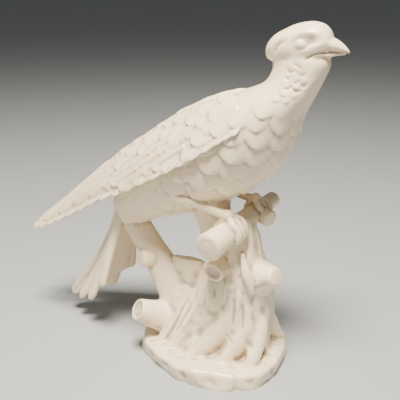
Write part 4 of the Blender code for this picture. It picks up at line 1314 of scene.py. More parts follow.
@dataclass(frozen=True)
class CutFace:
    """Profile of a sawn end: shares of the limb's radius and of the face's crown."""

    crown: float = 0.20
    profile: tuple = (
        (0.985, 0.22), (0.94, 0.48), (0.86, 0.68), (0.72, 0.84), (0.6, 0.9), (0.54, 0.74), (0.48, 0.92),
        (0.25, 1),
    )


HOLLOW_FACE = CutFace(
    1.0, ((0.97, 0.05), (0.92, 0.07), (0.85, 0.05), (0.76, -0.03), (0.6, -0.09), (0.3, -0.12))
)
SUNK_FACE = CutFace(
    1.0, ((0.97, 0.06), (0.9, 0.11), (0.8, 0.11), (0.7, 0.03), (0.62, -0.06), (0.5, -0.12), (0.2, -0.16))
)


def add_cut_limb(clay: Clay, path: object, radii: object, face: CutFace = CutFace()) -> None:
    """Add a round limb whose last end is sawn: softly rounded, a little crowned, with a ring line.

    Args:
        clay: The shells to add to.
        path: Drawn places along the middle; the sawn end is the last.
        radii: Drawn radii at those places, or one radius.
        face: The profile of the sawn end.
    """
    rings = tube_rings(path, radii, 48)
    centre = rings[-1].mean(axis=0)
    ahead = unit_rows(centre - rings[-2].mean(axis=0))
    radius = np.linalg.norm(rings[-1][0] - centre)
    ends = [
        centre + (rings[-1] - centre) * share + ahead * radius * face.crown * rise
        for share, rise in face.profile
    ]
    clay.add_loft(np.concatenate([rings, np.array(ends)], axis=0))


@dataclass
class Legs:
    """Both legs and their feet on the branch."""

    near_leg: tuple = (
        (-34, 22, 139), (-19, 25, 130.8), (-8, 23.5, 128.6), (2.5, 21.5, 125.5), (13, 19.3, 121.8),
    )
    far_leg: tuple = ((-8, 16, 133), (4, 17, 127.5), (14, 18, 124.5), (22, 18, 122.5))
    foot_offset: float = 18.0
    radius: float = 2.9
    radius_shares: tuple = (2.0, 1.45, 1.2, 1.08, 1.12, 1.5)
    heel_shares: tuple = (1.45, 1.25, 1.0)
    toe_radius: float = 2.6
    claw_radius: float = 1.2
    toe_spacing: float = 5.0
    toes: int = 3
    foot_angle: float = 95.0
    foot_lift: float = 1.2
    toe_lift: float = 0.35
    front_angles: tuple = (60.0, 25.0, -8.0, -36.0)
    hind_angles: tuple = (125.0, 160.0, 200.0)

    def toe(self, clay: Clay, branch: Branch, foot: Array, share: float, angles: tuple) -> None:
        """Add one toe that lies round the branch.

        Args:
            clay: The shells to add to.
            branch: What it grips.
            foot: Drawn place where it starts.
            share: Share of the branch's length that it runs at.
            angles: Turns round the branch that it passes, in degrees.
        """
        path = [foot] + [branch.around(share, angle, self.toe_lift * self.toe_radius) for angle in angles]
        clay.add_tube(path, [self.toe_radius] * len(angles) + [self.claw_radius], sides=20)

    def shape(self, clay: Clay, branch: Branch) -> None:
        """Add both legs with their toes.

        Args:
            clay: The shells to add to.
            branch: What the feet grip.
        """
        near, far = np.array(branch.near_end), np.array(branch.far_end)
        length = np.linalg.norm(far - near)
        for side, path in zip(SIDES, (self.near_leg, self.far_leg)):
            foot_share = (side * self.foot_offset - near[1]) / (far[1] - near[1])
            foot = branch.around(foot_share, self.foot_angle, self.foot_lift * self.toe_radius)
            leg = np.vstack([path * mirror(side), foot])
            clay.add_tube(leg, self.radius * np.array(self.radius_shares[-len(leg) :]))
            clay.add_ball(foot, (self.radius * self.radius_shares[-1],) * 3)
            self.toe(clay, branch, foot, foot_share, self.hind_angles)
            heel = [foot] + [branch.around(foot_share, angle, 0.0) for angle in self.hind_angles[:2]]
            clay.add_tube(heel, self.radius * np.array(self.heel_shares))
            for toe in range(self.toes):
                share = foot_share + (toe - (self.toes - 1) / 2) * self.toe_spacing / length
                self.toe(clay, branch, foot, share, self.front_angles)


@dataclass
class Stump:
    """Main trunk, leaning left trunk, the web between them, stubs, knot and support."""

    trunk: tuple = (
        (4, 9, -1, 36, 27), (20, 10, -1, 36, 26.5), (34, 12, -1, 35, 25), (48, 15, 0, 32.5, 22.5),
        (62, 17.5, 0, 29.5, 20.5), (76, 18.5, 0, 24, 18.5), (90, 19, 0, 17, 17),
        (103, 20.5, 0, 12.5, 14.5), (111, 21.5, 0, 9, 11.5),
    )
    web: tuple = (
        (4, -14, -1, 31, 26), (26, -16, 0, 27, 19), (44, -20, 1, 23, 11), (58, -24, 2, 19, 7.5),
        (68, -24, 1, 17, 6), (73, -22, 0, 13, 4),
    )
    rib_depth: float = 0.6
    ribs: int = 9
    rib_twist: tuple = (2.2, 0.036)
    rib_drift: tuple = (1.3, 3)
    pillar: tuple = ((-3, 0, 134), (-3, 0, 120), (1, 0, 105), (6, 0, 88))
    pillar_radii: tuple = (16.0, 15.0, 13.5, 14.0)
    pillar_flattening: float = 0.75
    left_trunk: tuple = (
        (-12, 0, 14), (-30, -1, 40), (-44, -1, 62), (-58, 0, 80), (-70, 0, 97), (-76, 0, 112),
    )
    left_radii: tuple = (22.0, 15.5, 12.0, 10.5, 10.5, 8.0)
    nub: tuple = ((-47, 0, 69.5), (-52, -10, 71), (-54.5, -15.5, 72))
    nub_radii: tuple = (8.5, 6.9, 6.3)
    left_stub: tuple = ((-27, -4, 21), (-39.5, -19, 29), (-49.5, -32, 37.5))
    left_stub_radii: tuple = (16.0, 11.5, 8.2)
    right_stub: tuple = ((24, 2, 66), (36, -3, 70.5), (46, -7.5, 75), (52, -9.5, 77))
    right_stub_radii: tuple = (24.0, 16.5, 9.6, 7.0)
    knot: tuple = ((12, -8, 86), (11.2, -20, 81), (11, -26, 79))
    knot_radius: float = 8.2
    knot_column: tuple = ((11, -8, 86), (11, -15.5, 73), (10.5, -19.4, 62), (9.8, -21, 48.5))
    knot_column_radii: tuple = (6.5, 7.2, 7.0, 6.6)
    front_ridge: tuple = ((29, -15.5, 93), (34, -18.4, 79), (40, -19, 64))
    front_ridge_radii: tuple = (1.5, 4.0, 1.5)
    bark_rows: int = 5
    bark_columns: int = 12
    bark_size: tuple = (22.0, 4.6, 0.9)
    bark_seed: int = 11
    bark_reach: tuple = (0.12, 0.80)
    bark_lengths: tuple = (0.7, 1.3)
    bark_heights: tuple = (0.6, 1.2)
    blends: tuple = (
        ((-30, -8, 32), 16), ((-30, -6, 54), 16), ((-3, -9, 62), 9), ((-15, -8, 58), 16),
        ((-20, 8, 55), 18), ((38, -9, 86), 11), ((40, -9, 60), 13), ((40, 8, 70), 14), ((-46, -4, 68), 8),
        ((11, -20, 45), 9), ((20.5, -17, 76), 6.5), ((2, -17, 76), 6.5), ((10.5, -22.5, 88.5), 7),
        ((14, -12, 94), 10), ((0, -8, 112), 9), ((-68, 0, 100), 10),
    )
    strokes: tuple = tool_strokes(
        (2.4, -1.2, (-50, -34, 34), (-42, -28, 28), (-33, -24, 22)),
        (2.4, -1.4, (48, -14, 74), (42, -18, 66), (40, -19, 56)),
        (0.8, -1.1, (12, -27.5, 66), (12.6, -27.5, 62.5), (12, -27.5, 59)),
        (3.2, -1.2, (41, -15, 60), (44, -10, 48), (45, -8, 36)),
        (2, 1.3, (28, -20, 62), (28.5, -21, 52), (29.5, -22, 42)),
        (1.4, -1.2, (25, -21.5, 58), (25.5, -22.5, 48), (26, -23.5, 40)),
        (2, 1.2, (35, -17, 52), (35.5, -17.5, 44), (36.5, -18, 34)),
        (1.3, -1.2, (32, -19.5, 54), (32.5, -20.5, 46), (33, -21.5, 38)),
        (2.2, -1, (40, -15, 78), (38, -15.5, 90), (34, -13, 100)),
    )

    def column_rings(self, table: tuple, depth: float) -> Array:
        """Upright rings from rows of height, centre x, centre y, half width and half depth.

        Args:
            table: The rows.
            depth: Depth of the soft ribs.

        Returns:
            The rings, in metres.
        """
        rows = smooth_rows(table, 150)
        angle = turn_around(200)
        height = rows[:, 0][:, None]
        (twist, pace), (drift, turns) = self.rib_twist, self.rib_drift
        wander = twist * np.sin(pace * height) + drift * np.sin(turns * angle)[None, :]
        push = depth * np.cos(self.ribs * angle[None, :] + wander)
        x = rows[:, 1][:, None] + (rows[:, 3][:, None] + push) * np.cos(angle)[None, :]
        y = rows[:, 2][:, None] + (rows[:, 4][:, None] + push) * np.sin(angle)[None, :]
        z = np.repeat(height, len(angle), axis=1)
        return np.stack([x, y, z], axis=2) * UNIT

    def bark(self, rings: Array) -> StrokePlan:
        """Long low strokes that run up a trunk.

        Args:
            rings: The trunk's rings.

        Returns:
            The plan.
        """
        normals = ring_normals(rings)
        rng = np.random.default_rng(self.bark_seed)
        low, reach = self.bark_reach
        steps, around, _ = rings.shape
        found = []
        for row in range(self.bark_rows):
            for column in range(self.bark_columns):
                level = int((low + reach * (row + 0.5 * rng.uniform(0, 1)) / self.bark_rows) * steps)
                spot = int((column + 0.4 * (row % 2) + 0.3 * rng.uniform(-1, 1)) / self.bark_columns * around)
                long, high = rng.uniform(*self.bark_lengths), rng.uniform(*self.bark_heights)
                found.append((level, spot % around, long, high))
        level, spot, long, high = as_columns(found)
        length, breadth, lift = self.bark_size
        flow = unit_rows(np.gradient(rings, axis=0)[level, spot])
        sizes = (length * UNIT * long, np.full(len(level), breadth * UNIT), lift * UNIT * high)
        return StrokePlan(rings[level, spot], normals[level, spot], flow, *sizes)

    def shape(self, clay: Clay, layer: StrokeLayer) -> int:
        """Add the whole stump.

        Args:
            clay: The shells to add to.
            layer: Lays the bark strokes.

        Returns:
            Number of bark strokes.
        """
        trunk = self.column_rings(self.trunk, self.rib_depth)
        surface = loft_object("trunk_surface", trunk)
        clay.add_loft(trunk)
        count = layer.lay(clay, self.bark(trunk), StrokeForm(Stroke.BARK), surface, 0.1, self.bark_seed)
        discard(surface)
        clay.add_loft(self.column_rings(self.web, 0.0))
        clay.add_tube(self.left_trunk, self.left_radii, 60)
        clay.add_tube(self.pillar, self.pillar_radii, 60, self.pillar_flattening)
        add_cut_limb(clay, self.nub, self.nub_radii)
        add_cut_limb(clay, self.left_stub, self.left_stub_radii, HOLLOW_FACE)
        add_cut_limb(clay, self.right_stub, self.right_stub_radii)
        add_cut_limb(clay, self.knot, self.knot_radius, SUNK_FACE)
        clay.add_tube(self.knot_column, self.knot_column_radii, 60)
        clay.add_tube(self.front_ridge, self.front_ridge_radii)
        return count


@dataclass
class Base:
    """Low rocky disc with the roots that spread over it."""

    radius: float = 58.2
    thickness: float = 12.5
    edge_round: float = 3.5
    edge_steps: int = 8
    undercut: float = 6.0
    undercut_share: float = 0.97
    side_profile: tuple = ((0.985, 0), (0.995, 0.2), (1, 0.4))
    crown: float = 0.15
    outline: tuple = (0.99, 0.99, 1.04, 1.01, 1.0, 1.02, 1.0, 0.985, 0.895, 0.92, 1.025, 1.07)
    rim_waves: tuple = ((8, 1), (13, 2))
    rim_roughness: float = 0.4
    notch_depth: float = 3.4
    notch_width: float = 7.0
    notch_angle: float = math.radians(-49)
    lumps: int = 5
    lump_share: float = 0.05
    lump_phase: float = 0.5
    roots: tuple = (
        (-138, 0.74, 13), (-122, 0.66, 11), (-94, 0.68, 13), (-64, 0.7, 13), (-36, 0.8, 13),
        (-8, 0.9, 12), (27, 0.84, 14), (54, 0.76, 14), (96, 0.68, 16), (132, 0.76, 15), (165, 0.84, 18),
    )
    root_height: float = 34.0
    root_hollow: float = 0.52
    root_sweep: float = 1.7
    root_top: tuple = (0.80, 0.55)
    root_foot: float = 0.6
    ridges: tuple = (
        (((24, -6, 54), (17, -20, 36), (8, -28, 21), (-4, -36, 9)), (9, 8.5, 7.5, 4.6)),
        (((33, -6, 50), (32, -17, 33), (27, -25, 20), (18, -34, 9)), (8, 7.6, 6.6, 4.4)),
        (((40, -4, 46), (42, -13, 29), (42, -20, 18), (41, -27, 9)), (7, 6.6, 5.8, 4.2)),
        (((-16, -5, 50), (-21, -14, 35), (-26, -21, 22), (-36, -31, 9)), (7, 5.6, 4.8, 3.6)),
        (((-8, -7, 50), (-12, -17, 35), (-16, -24, 22), (-24, -34, 9)), (7, 5.6, 4.8, 3.6)),
        (((14, 6, 50), (18, 18, 33), (22, 26, 20), (27, 34, 9)), (8, 7.2, 6.2, 4.2)),
        (((-14, 6, 48), (-18, 16, 33), (-23, 25, 20), (-30, 33, 9)), (8, 7.2, 6.2, 4.2)),
        (((34, 5, 48), (40, 12, 31), (43, 17, 20), (47, 22, 9)), (7, 6.4, 5.6, 4.2)),
    )
    blend_heights: tuple = (11.0, 15.0, 40.0, 52.0)
    blend_radii: tuple = (50.0, 44.0)
    strokes: tuple = tool_strokes(
        (3, -1.5, (-12, -26, 19), (-2, -25, 26), (13, -24, 40)),
        (3, -1.5, (2, -39, 14), (11, -29, 15), (24, -26, 22)),
        (2.8, -1.5, (19, -31, 14), (27, -26, 14), (38, -22, 13)),
        (3.2, -1.5, (33, -20, 35), (40, -16, 23), (51, -8, 13)),
        (1.1, -1.2, (47, -4, 34), (49, -1, 16), (56, -6, 12)),
        (3, -1.3, (-2, -57, 11), (0, -57.5, 6), (1.5, -57, 2)),
        (2.2, 0.9, (11, -55.5, 10), (13.5, -55.5, 5), (15, -55, 2)),
        (3.4, -1.3, (19, -53.5, 11), (22, -52.5, 7), (27, -51, 4)),
        (3.8, -1.7, (39, -43, 12), (44, -39, 7), (47, -35, 4)),
        (3, -1.1, (-17, -54, 10), (-20, -53, 6), (-25, -51, 4)),
        (3, -1.1, (-36, -45, 10), (-37, -44, 5), (-41, -40, 3)),
        (3, -1.1, (52, -21, 11), (54, -18, 6), (55, -14, 3)),
        (3.2, -1.2, (30, 49, 10), (27, 51, 5)),
        (3.2, -1.2, (-20, 54, 10), (-24, 52, 5)),
        (3.2, -1.2, (-53, 20, 10), (-54, 16, 5)),
        (1.5, 1.6, (-20, -17, 42), (-23, -22, 30), (-30, -27, 16)),
        (1.4, 1.6, (-15, -17, 42), (-18, -22, 31), (-24, -28, 16)),
        (1.7, 1.8, (-7, -18, 47), (-11, -22, 34), (-19, -28, 18)),
        (1.2, -1.2, (-17.5, -17, 42), (-20.5, -22, 30), (-27, -27.5, 15.5)),
        (1.3, -1.4, (-11, -18, 44), (-15, -22, 31), (-21.5, -28, 16)),
        (1.3, -1, (-29, -24, 17), (-33, -28, 14), (-38, -33, 13)),
        (0.8, -1, (24, -28, 31), (26.5, -28, 28.5), (28.5, -28.5, 27.5)),
    )
    facets: int = 19
    facet_shift: float = 0.30
    facet_depth: tuple = (0.0, 1.8)
    facet_slope: float = 0.28
    facet_seed: int = 21

    def rim(self, angle: Array) -> Array:
        """Drawn radius of the uneven rim at each angle, with its notch at the front.

        Args:
            angle: Angles round the upright axis.

        Returns:
            The radii.
        """
        count = len(self.outline)
        shares = np.array(self.outline)
        place = (angle % (2 * math.pi)) / (2 * math.pi) * count
        index = place.astype(int) % count
        outline = curve_between([shares[(index + k) % count] for k in (-1, 0, 1, 2)], place - np.floor(place))
        rough = sum(np.cos(waves * angle + phase) for waves, phase in self.rim_waves)
        away = angle_apart(angle, self.notch_angle)
        notch = np.exp(-((2 * away * self.radius / self.notch_width) ** 2))
        return self.radius * outline + self.rim_roughness * rough - self.notch_depth * notch

    def chipped(self, rim: Array, angle: Array) -> list[Array]:
        """Rim radius at the underside and at the top edge, chipped into flat slanting facets.

        Args:
            rim: The plain rim.
            angle: Its angles.

        Returns:
            The two radii at each angle.
        """
        rng = np.random.default_rng(self.facet_seed)
        shifted = np.arange(self.facets) + self.facet_shift * rng.uniform(-1, 1, self.facets)
        turn = 2 * math.pi * shifted / self.facets
        distance = np.interp(turn % (2 * math.pi), angle, rim) - rng.uniform(*self.facet_depth, self.facets)
        slope = self.facet_slope * rng.uniform(-1, 1, self.facets) * self.thickness / 2
        facing = np.maximum(np.cos(angle[:, None] - turn[None, :]), 0.5)
        return [np.minimum(rim, ((distance + side * slope)[None, :] / facing).min(axis=1)) for side in SIDES]

    def disc(self, clay: Clay) -> None:
        """Add the disc; its lower part runs past the underside and is cut off level.

        Args:
            clay: The shells to add to.
        """
        angle = turn_around(500)
        low_rim, high_rim = self.chipped(self.rim(angle), angle)
        profile = [(self.undercut_share, -self.undercut)]
        profile += [(share, height * self.thickness) for share, height in self.side_profile]
        shoulder = self.edge_round / self.radius
        for step in range(self.edge_steps + 1):
            turn = step / self.edge_steps * math.pi / 2
            share = 1 - shoulder * (1 - math.cos(turn))
            profile.append((share, self.thickness - self.edge_round * (1 - math.sin(turn))))
        for share in np.linspace(0.9, 0.05, 30):
            profile.append((share, self.thickness * (1 + self.crown - self.crown * share**2)))
        rings = []
        for share, height in profile:
            raised = self.lump_share if height > 0.5 * self.thickness else 0.0
            level = height * (1 + raised * np.cos(self.lumps * angle + self.lump_phase))
            rim = low_rim + (high_rim - low_rim) * float(np.clip(height / self.thickness, 0, 1))
            rings.append(upright_ring(angle, rim * share, level))
        clay.add_loft(np.array(rings) * UNIT)

    def root_skirt(self, clay: Clay) -> None:
        """Add ridges that run out over the base with soft hollows between them.

        Args:
            clay: The shells to add to.
        """
        angle = turn_around(300)
        reach = np.full_like(angle, self.root_hollow)
        for degrees, length, half_width in self.roots:
            away = angle_apart(angle, math.radians(degrees))
            ridge = np.exp(-((away / math.radians(half_width)) ** 2))
            reach = np.maximum(reach, self.root_hollow + (length - self.root_hollow) * ridge)
        foot = self.root_foot * self.thickness
        top = self.thickness + self.root_height
        wide, narrow = self.root_top
        rings = []
        for rise in np.linspace(0, 1, 70):
            pull = (1 - rise) ** self.root_sweep
            core = self.root_hollow * (wide + (narrow - wide) * rise)
            radius = self.radius * (core * (1 - pull) + reach * pull)
            rings.append(upright_ring(angle, radius, foot + (top - foot) * rise))
        clay.add_loft(np.array(rings) * UNIT)

    def shape(self, clay: Clay) -> None:
        """Add the disc and the roots.

        Args:
            clay: The shells to add to.
        """
        self.disc(clay)
        self.root_skirt(clay)
        for path, radii in self.ridges:
            clay.add_tube(path, radii)


@dataclass(frozen=True)
class Speck:
    """Small stain in the glaze: its drawn place and reach, its colour and how strongly it shows."""

    place: tuple
    reach: float
    colour: tuple
    strength: float

    def over(self, graph: Graph, place: object, below: object) -> bpy.types.NodeSocket:
        """Lay the stain over a colour.

        Args:
            graph: The material's nodes.
            place: Socket with the place on the piece.
            below: Socket with the colour.

        Returns:
            Socket with the stained colour.
        """
        spot = tuple(float(value) for value in drawn(self.place))
        away = graph.signal("ShaderNodeVectorMath", {"operation": "DISTANCE"}, {0: place, 1: spot}, "Value")
        clamped = {"operation": "MULTIPLY", "use_clamp": True}
        near = graph.signal("ShaderNodeMath", clamped, {0: 1 - away * (1 / (self.reach * UNIT)), 1: 2.0})
        return graph.mix(near * self.strength, below, self.colour)


@dataclass(frozen=True)
class Porcelain:
    """Warm white glazed porcelain, satin with a soft gloss, with painted shade and some grime darkening its
    creases.
    """

    name: str = "porcelain"
    crease: str = "hollow"
    colour: tuple = (0.92, 0.775, 0.555, 1.0)
    shaded_colour: tuple = (0.88, 0.71, 0.485, 1.0)
    # Painted shade: creases are darkened towards this colour in place of the shade that falls in them, along
    # with some grime.
    crease_shade_and_grime_colour: tuple = (0.38, 0.29, 0.21, 1.0)
    specks: tuple = (
        Speck((89.0, -1.2, 232.4), 1.7, (0.50, 0.20, 0.05, 1.0), 0.75),
        Speck((63.8, -12.9, 223.8), 1.3, (0.12, 0.09, 0.07, 1.0), 0.6),
        Speck((-50.2, -5.0, 82.0), 1.3, (0.10, 0.08, 0.07, 1.0), 0.6),
    )
    roughness: float = 0.36
    coat: float = 0.30
    coat_roughness: float = 0.22
    cloud: tuple = (28.0, 3.0)
    grain: tuple = (420.0, 2.0)

    def build(self) -> bpy.types.Material:
        """Make the material.

        Returns:
            The material.
        """
        material = bpy.data.materials.new(self.name)
        material.use_nodes = True
        graph = Graph(material.node_tree)
        shader = material.node_tree.nodes["Principled BSDF"]
        place = graph.add("ShaderNodeTexCoord").outputs["Object"]
        sizes = (self.cloud, self.grain)
        noise = [{"Vector": place, "Scale": scale, "Detail": detail} for scale, detail in sizes]
        cloud, grain = (graph.signal("ShaderNodeTexNoise", None, values, "Fac") for values in noise)
        colour = graph.mix(cloud * 0.35, self.colour, self.shaded_colour)
        crease = graph.signal("ShaderNodeAttribute", {"attribute_name": self.crease}, None, "Fac")
        # Painted shade and grime: the hollow attribute darkens the colour in creases.
        colour = graph.mix(crease * 0.8, colour, self.crease_shade_and_grime_colour)
        bump = graph.add("ShaderNodeBump", None, {"Strength": 0.10, "Distance": 0.0004, "Height": grain})
        for speck in self.specks:
            colour = speck.over(graph, place, colour)
        for name, value in {
            "Base Color": colour,
            "Roughness": self.roughness + 0.10 * (grain - 0.5),
            "Normal": bump.outputs[0],
            "Coat Weight": self.coat,
            "Coat Roughness": self.coat_roughness,
        }.items():
            graph.give(shader.inputs[name], value)
        return material


class Skin:
    """Fused mesh that is blended and worked with a tool, point by point."""

    broad_width = 2.5
    broad_passes = 10
    top_fade = 12.0
    foot_fade = (2.0, 8.0)
    tail_fade = (-78.0, -68.0)
    tool_step = 0.3
    tool_reach = 2.4
    tool_ends = (0.08, 0.84)

    def __init__(self, mesh: bpy.types.Mesh) -> None:
        """Read the mesh into arrays.

        Args:
            mesh: The fused mesh.
        """
        self.mesh = mesh
        self.count = len(mesh.vertices)
        self.points = read_values(mesh.vertices, "co", np.float32, 3).reshape(-1, 3).astype(float)
        ends = read_values(mesh.edges, "vertices", np.int32, 2)
        self.ends = ends.reshape(-1, 2)
        self.degree = np.bincount(ends, minlength=self.count)

    def store(self) -> None:
        """Write the places back to the mesh."""
        self.mesh.vertices.foreach_set("co", self.points.astype(np.float32).ravel())
        self.mesh.update()

    def normals(self) -> Array:
        """Outward direction at each point."""
        self.store()
        return read_values(self.mesh.vertex_normals, "vector", np.float32, 3).reshape(-1, 3)

    def relax(self, weight: Array, passes: int) -> None:
        """Draw points towards the middle of their neighbours.

        Args:
            weight: Share of the way, for each point.
            passes: How often.
        """
        moving = weight > 0.01
        touched = moving[self.ends].any(axis=1)
        for _ in range(passes):
            middle = self.smoothed(self.points, 1, touched)[moving]
            self.points[moving] += weight[moving, None] * (middle - self.points[moving])

    def smoothed(self, values: Array, passes: int, edges: Array | slice = slice(None)) -> Array:
        """Average of each point's neighbours.

        Args:
            values: Three numbers for each point.
            passes: How often it is taken.
            edges: Which edges count.

        Returns:
            The averages.
        """
        first, second = self.ends[edges].T
        for _ in range(passes):
            sums = [
                np.bincount(first, row[second], self.count) + np.bincount(second, row[first], self.count)
                for row in values.T
            ]
            values = np.stack(sums, axis=1) / self.degree[:, None]
        return values

    def ripple(self, depth: float, size: float, top: float) -> None:
        """Leave the soft unevenness of hand modelling on the stump and the base.

        Args:
            depth: Drawn depth of the waves.
            size: Drawn distance from wave to wave.
            top: Drawn height above which the skin stays smooth.
        """
        normals = unit_rows(self.smoothed(self.normals(), self.broad_passes))
        x, y, z = (self.points / UNIT).T
        turn = 2 * math.pi / size
        # The factors keep the waves out of line with the axes and with each other.
        wave = np.sin(turn * (x + 0.6 * y) + 1.7 * np.sin(turn * 0.5 * z))
        wave *= np.cos(turn * (0.8 * y - 0.5 * z) + 0.4)
        fine = 0.5 * np.sin(1.9 * turn * (y - 0.4 * x + 0.3 * z) + 1.1)
        wave += fine * np.cos(1.6 * turn * (0.7 * z + 0.5 * x))
        on_stump = smooth_step(top, top - self.top_fade, z)
        on_stump *= smooth_step(*self.foot_fade, z) * smooth_step(*self.tail_fade, x)
        self.points += normals * (depth * UNIT * wave * on_stump)[:, None]

    def blend(self, zones: tuple, passes: int) -> None:
        """Soften the joints inside round zones, each a drawn centre and reach.

        Args:
            zones: The zones.
            passes: How often the points are drawn together.
        """
        weight = np.zeros(self.count)
        for centre, reach in zones:
            away = np.linalg.norm(self.points - drawn(centre), axis=1) / (reach * UNIT)
            weight = np.maximum(weight, smooth_step(1.0, 0.6, away))
        self.relax(0.5 * weight, passes)

    def work(self, strokes: list) -> None:
        """Run every tool stroke over the skin.

        Args:
            strokes: The tool strokes, in their order.
        """
        fine = self.normals()
        broad = unit_rows(self.smoothed(fine, self.broad_passes))
        for stroke in strokes:
            normals = broad if stroke.width > self.broad_width else fine
            for side in SIDES if stroke.mirrored else SIDES[1:]:
                self._run(stroke, drawn(stroke.path) * mirror(side), normals)

    def _run(self, stroke: ToolStroke, path: Array, normals: Array) -> None:
        """Move the points near one path along their normals.

        Args:
            stroke: The tool stroke.
            path: Its places, in metres.
            normals: Directions to move along.
        """
        width = stroke.width * UNIT
        path = np.array([self.points[((self.points - place) ** 2).sum(axis=1).argmin()] for place in path])
        line = smooth_rows(path, max(6, int(hops(path).sum() / (self.tool_step * width))))
        margin = self.tool_reach * width
        low, high = line.min(axis=0) - margin, line.max(axis=0) + margin
        near = np.nonzero(((self.points > low) & (self.points < high)).all(axis=1))[0]
        away = np.linalg.norm(self.points[near, None, :] - line[None, :, :], axis=2)
        nearest = away.argmin(axis=1)
        first, span = self.tool_ends
        ends = np.sin(math.pi * (first + span * nearest / (len(line) - 1))) ** 0.6
        push = stroke.depth * UNIT * ends * np.exp(-((away.min(axis=1) / width) ** 2))
        self.points[near] += normals[near] * push[:, None]

    def hollows(self, passes: int, depth: float) -> Array:
        """How far each point lies in a crease, from 0 to 1.

        Args:
            passes: How wide a crease is looked for.
            depth: Depth that counts as full, in metres.

        Returns:
            A share for each point.
        """
        normals = self.normals()
        kept = self.points.copy()
        self.relax(np.full(self.count, 0.6), passes)
        moved = ((self.points - kept) * normals).sum(axis=1)
        self.points = kept
        return np.clip(moved / depth, 0, 1)


class Figure:
    """The whole casting, from clay to finished piece."""

    def __init__(self, casting: Casting, finish: bpy.types.Material) -> None:
        """Hold how it is cast and what it is made of.

        Args:
            casting: How it is cast.
            finish: Its glaze.
        """
        self.casting = casting
        self.finish = finish
        self.clay = Clay()
        self.base, self.stump, self.branch, self.legs = Base(), Stump(), Branch(), Legs()
        self.tail, self.body, self.wing, self.head = Tail(), Body(), Wing(), Head()

    def lay_up(self) -> None:
        """Lay every form up in clay."""
        layer = StrokeLayer(self.finish)
        self.base.shape(self.clay)
        LOG.info("stump with %d bark strokes", self.stump.shape(self.clay, layer))
        self.branch.shape(self.clay)
        self.legs.shape(self.clay, self.branch)
        self.tail.shape(self.clay)
        LOG.info("body with %d feathers", self.body.shape(self.clay, layer))
        LOG.info("wings with %d feathers each", self.wing.shape(self.clay, layer))
        self.head.shape(self.clay)

    def work_skin(self, mesh: bpy.types.Mesh) -> None:
        """Blend the joints and carve the details that a tool leaves.

        Args:
            mesh: The fused mesh.
        """
        skin = Skin(mesh)
        low, full, fading, high = self.base.blend_heights
        height = skin.points[:, 2] / UNIT
        reach = np.linalg.norm(skin.points[:, :2], axis=1) / UNIT
        roots = smooth_step(low, full, height) * smooth_step(high, fading, height)
        roots *= smooth_step(*self.base.blend_radii, reach)
        skin.relax(0.5 * roots, self.casting.root_passes)
        skin.blend(self.head.blends + self.stump.blends, self.casting.blend_passes)
        skin.ripple(self.casting.hand_marks, self.casting.hand_mark_size, self.casting.stump_top)
        skin.work([*self.base.strokes, *self.stump.strokes, *self.head.strokes])
        skin.relax(np.full(skin.count, self.casting.softening), self.casting.softening_passes)
        skin.store()

    def cast(self) -> bpy.types.Object:
        """Fuse the clay into one closed skin, work it and finish it.

        Returns:
            The finished piece.
        """
        thing = self.clay.to_object(PIECE)
        remesh = thing.modifiers.new("Skin", "REMESH")
        remesh.mode = "VOXEL"
        remesh.voxel_size = self.casting.cell
        fused = evaluated_copy(thing)
        keep_largest_shell(fused)
        thing.modifiers.clear()
        thing.data = fused
        LOG.info("skin of %d faces", len(fused.polygons))
        self.work_skin(fused)
        thin = thing.modifiers.new("Thin", "DECIMATE")
        thin.ratio = min(1.0, self.casting.triangles / (2 * len(fused.polygons)))
        thinned = evaluated_copy(thing)
        thing.modifiers.clear()
        thing.data = thinned
        cut_level(thinned)
        # The hollow attribute masks the painted crease shade and grime in the finish.
        hollow = Skin(thinned).hollows(self.casting.crease_passes, self.casting.crease_depth)
        write_attribute(thinned, Porcelain.crease, hollow)
        thinned.polygons.foreach_set("use_smooth", [True] * len(thinned.polygons))
        thinned.materials.clear()
        thinned.materials.append(self.finish)
        return thing


def keep_largest_shell(mesh: bpy.types.Mesh) -> None:
    """Drop any sealed hollow or loose crumb, and keep the outer skin alone.

    Args:
        mesh: The fused mesh.
    """
    first, second = read_values(mesh.edges, "vertices", np.int32, 2).reshape(-1, 2).T
    label = np.arange(len(mesh.vertices))
    while True:
        least = np.minimum(label[first], label[second])
        before = label.copy()
        np.minimum.at(label, first, least)
        np.minimum.at(label, second, least)
        label = label[label]
        if np.array_equal(before, label):
            break
    names, counts = np.unique(label, return_counts=True)
    if len(names) == 1:
        return
    largest = names[counts.argmax()]
    with opened(mesh) as bm:
        bmesh.ops.delete(bm, geom=[v for v in bm.verts if label[v.index] != largest], context="VERTS")


def cut_level(mesh: bpy.types.Mesh) -> None:
    """Cut the mesh off at the underside, close it with one flat face and split it into triangles.

    Args:
        mesh: The worked mesh.
    """
    plane = {"plane_co": (0, 0, 0), "plane_no": (0, 0, 1), "clear_inner": True, "dist": 1e-7}
    with opened(mesh) as bm:
        cut = bmesh.ops.bisect_plane(bm, geom=bm.verts[:] + bm.edges[:] + bm.faces[:], **plane)
        edges = [item for item in cut["geom_cut"] if isinstance(item, bmesh.types.BMEdge)]
        bmesh.ops.contextual_create(bm, geom=edges)
        bmesh.ops.triangulate(bm, faces=bm.faces[:])
        bmesh.ops.recalc_face_normals(bm, faces=bm.faces[:])


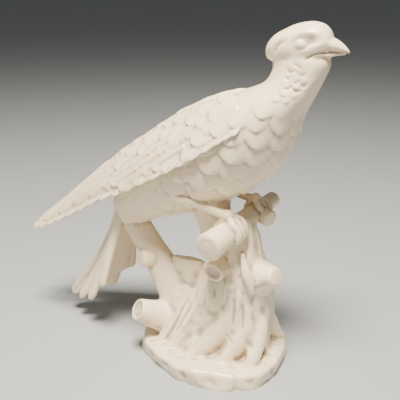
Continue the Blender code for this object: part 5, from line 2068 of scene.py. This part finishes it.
@dataclass(frozen=True)
class Studio:
    """Pale floor, soft light from above and the camera; lengths in metres, angles in degrees."""

    camera_place: tuple = (0.1796, -0.3852, 0.2675)
    camera_heading: float = 26.48
    camera_pitch: float = 18.705
    lens: float = 55.24
    sensor: float = 36.0
    floor_size: float = 120.0
    floor_colour: tuple = (0.38, 0.40, 0.42, 1.0)
    floor_roughness: float = 0.85
    lamp_target: tuple = (0.0, 0.0, 0.13)
    lamps: tuple = (
        ("key", (0.10, -0.30, 1.05), 0.30, 42.0, (1.0, 0.91, 0.76)),
        ("fill", (-0.7, -0.9, 0.60), 0.7, 2.2, (1.0, 0.97, 0.93)),
    )
    world_colour: tuple = (0.90, 0.90, 0.90, 1.0)
    world_strength: float = 0.16

    def camera(self) -> None:
        """Place the camera."""
        data = bpy.data.cameras.new("camera")
        data.lens = self.lens
        data.sensor_width = self.sensor
        thing = link_object("camera", data)
        thing.location = self.camera_place
        pitch, heading = math.radians(90 - self.camera_pitch), math.radians(self.camera_heading)
        thing.rotation_euler = (pitch, 0.0, heading)
        data.clip_start = 0.01
        bpy.context.scene.camera = thing

    def floor(self) -> None:
        """Lay a plain pale floor."""
        half = self.floor_size / 2
        corners = np.array([(-half, -half, 0), (half, -half, 0), (half, half, 0), (-half, half, 0)])
        thing = mesh_object("floor", corners, [[0, 1, 2, 3]])
        material = bpy.data.materials.new("floor")
        material.use_nodes = True
        shader = material.node_tree.nodes["Principled BSDF"]
        for name, value in (("Base Color", self.floor_colour), ("Roughness", self.floor_roughness)):
            shader.inputs[name].default_value = value
        thing.data.materials.append(material)

    def light(self, name: str, place: tuple, size: float, power: float, colour: tuple) -> None:
        """Hang one soft lamp that faces the figure.

        Args:
            name: The lamp's name.
            place: Where it hangs.
            size: Side of its square.
            power: Power in watts.
            colour: Its colour.
        """
        data = bpy.data.lights.new(name, "AREA")
        data.size = size
        data.energy = power
        data.color = colour
        thing = link_object(name, data)
        thing.location = place
        aim = np.array(self.lamp_target) - np.array(place)
        heading = math.atan2(aim[1], aim[0])
        fall = math.atan2(math.hypot(aim[0], aim[1]), -aim[2])
        thing.rotation_euler = (fall, 0.0, heading - math.pi / 2)

    def build(self) -> None:
        """Set up the whole studio."""
        self.camera()
        self.floor()
        for lamp in self.lamps:
            self.light(*lamp)
        world = bpy.data.worlds.new("studio")
        bpy.context.scene.world = world
        world.use_nodes = True
        background = world.node_tree.nodes["Background"]
        background.inputs["Color"].default_value = self.world_colour
        background.inputs["Strength"].default_value = self.world_strength


def main() -> None:
    """Build the figure and the studio."""
    logging.basicConfig(level=logging.INFO, format="%(name)s: %(message)s")
    finish = Porcelain().build()
    figure = Figure(Casting(), finish)
    figure.lay_up()
    piece = figure.cast()
    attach(piece, BODY)
    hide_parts(NODE)
    LOG.info("%s has %d triangles", piece.name, len(piece.data.polygons))
    Studio().build()


if __name__ == "__main__":
    main()
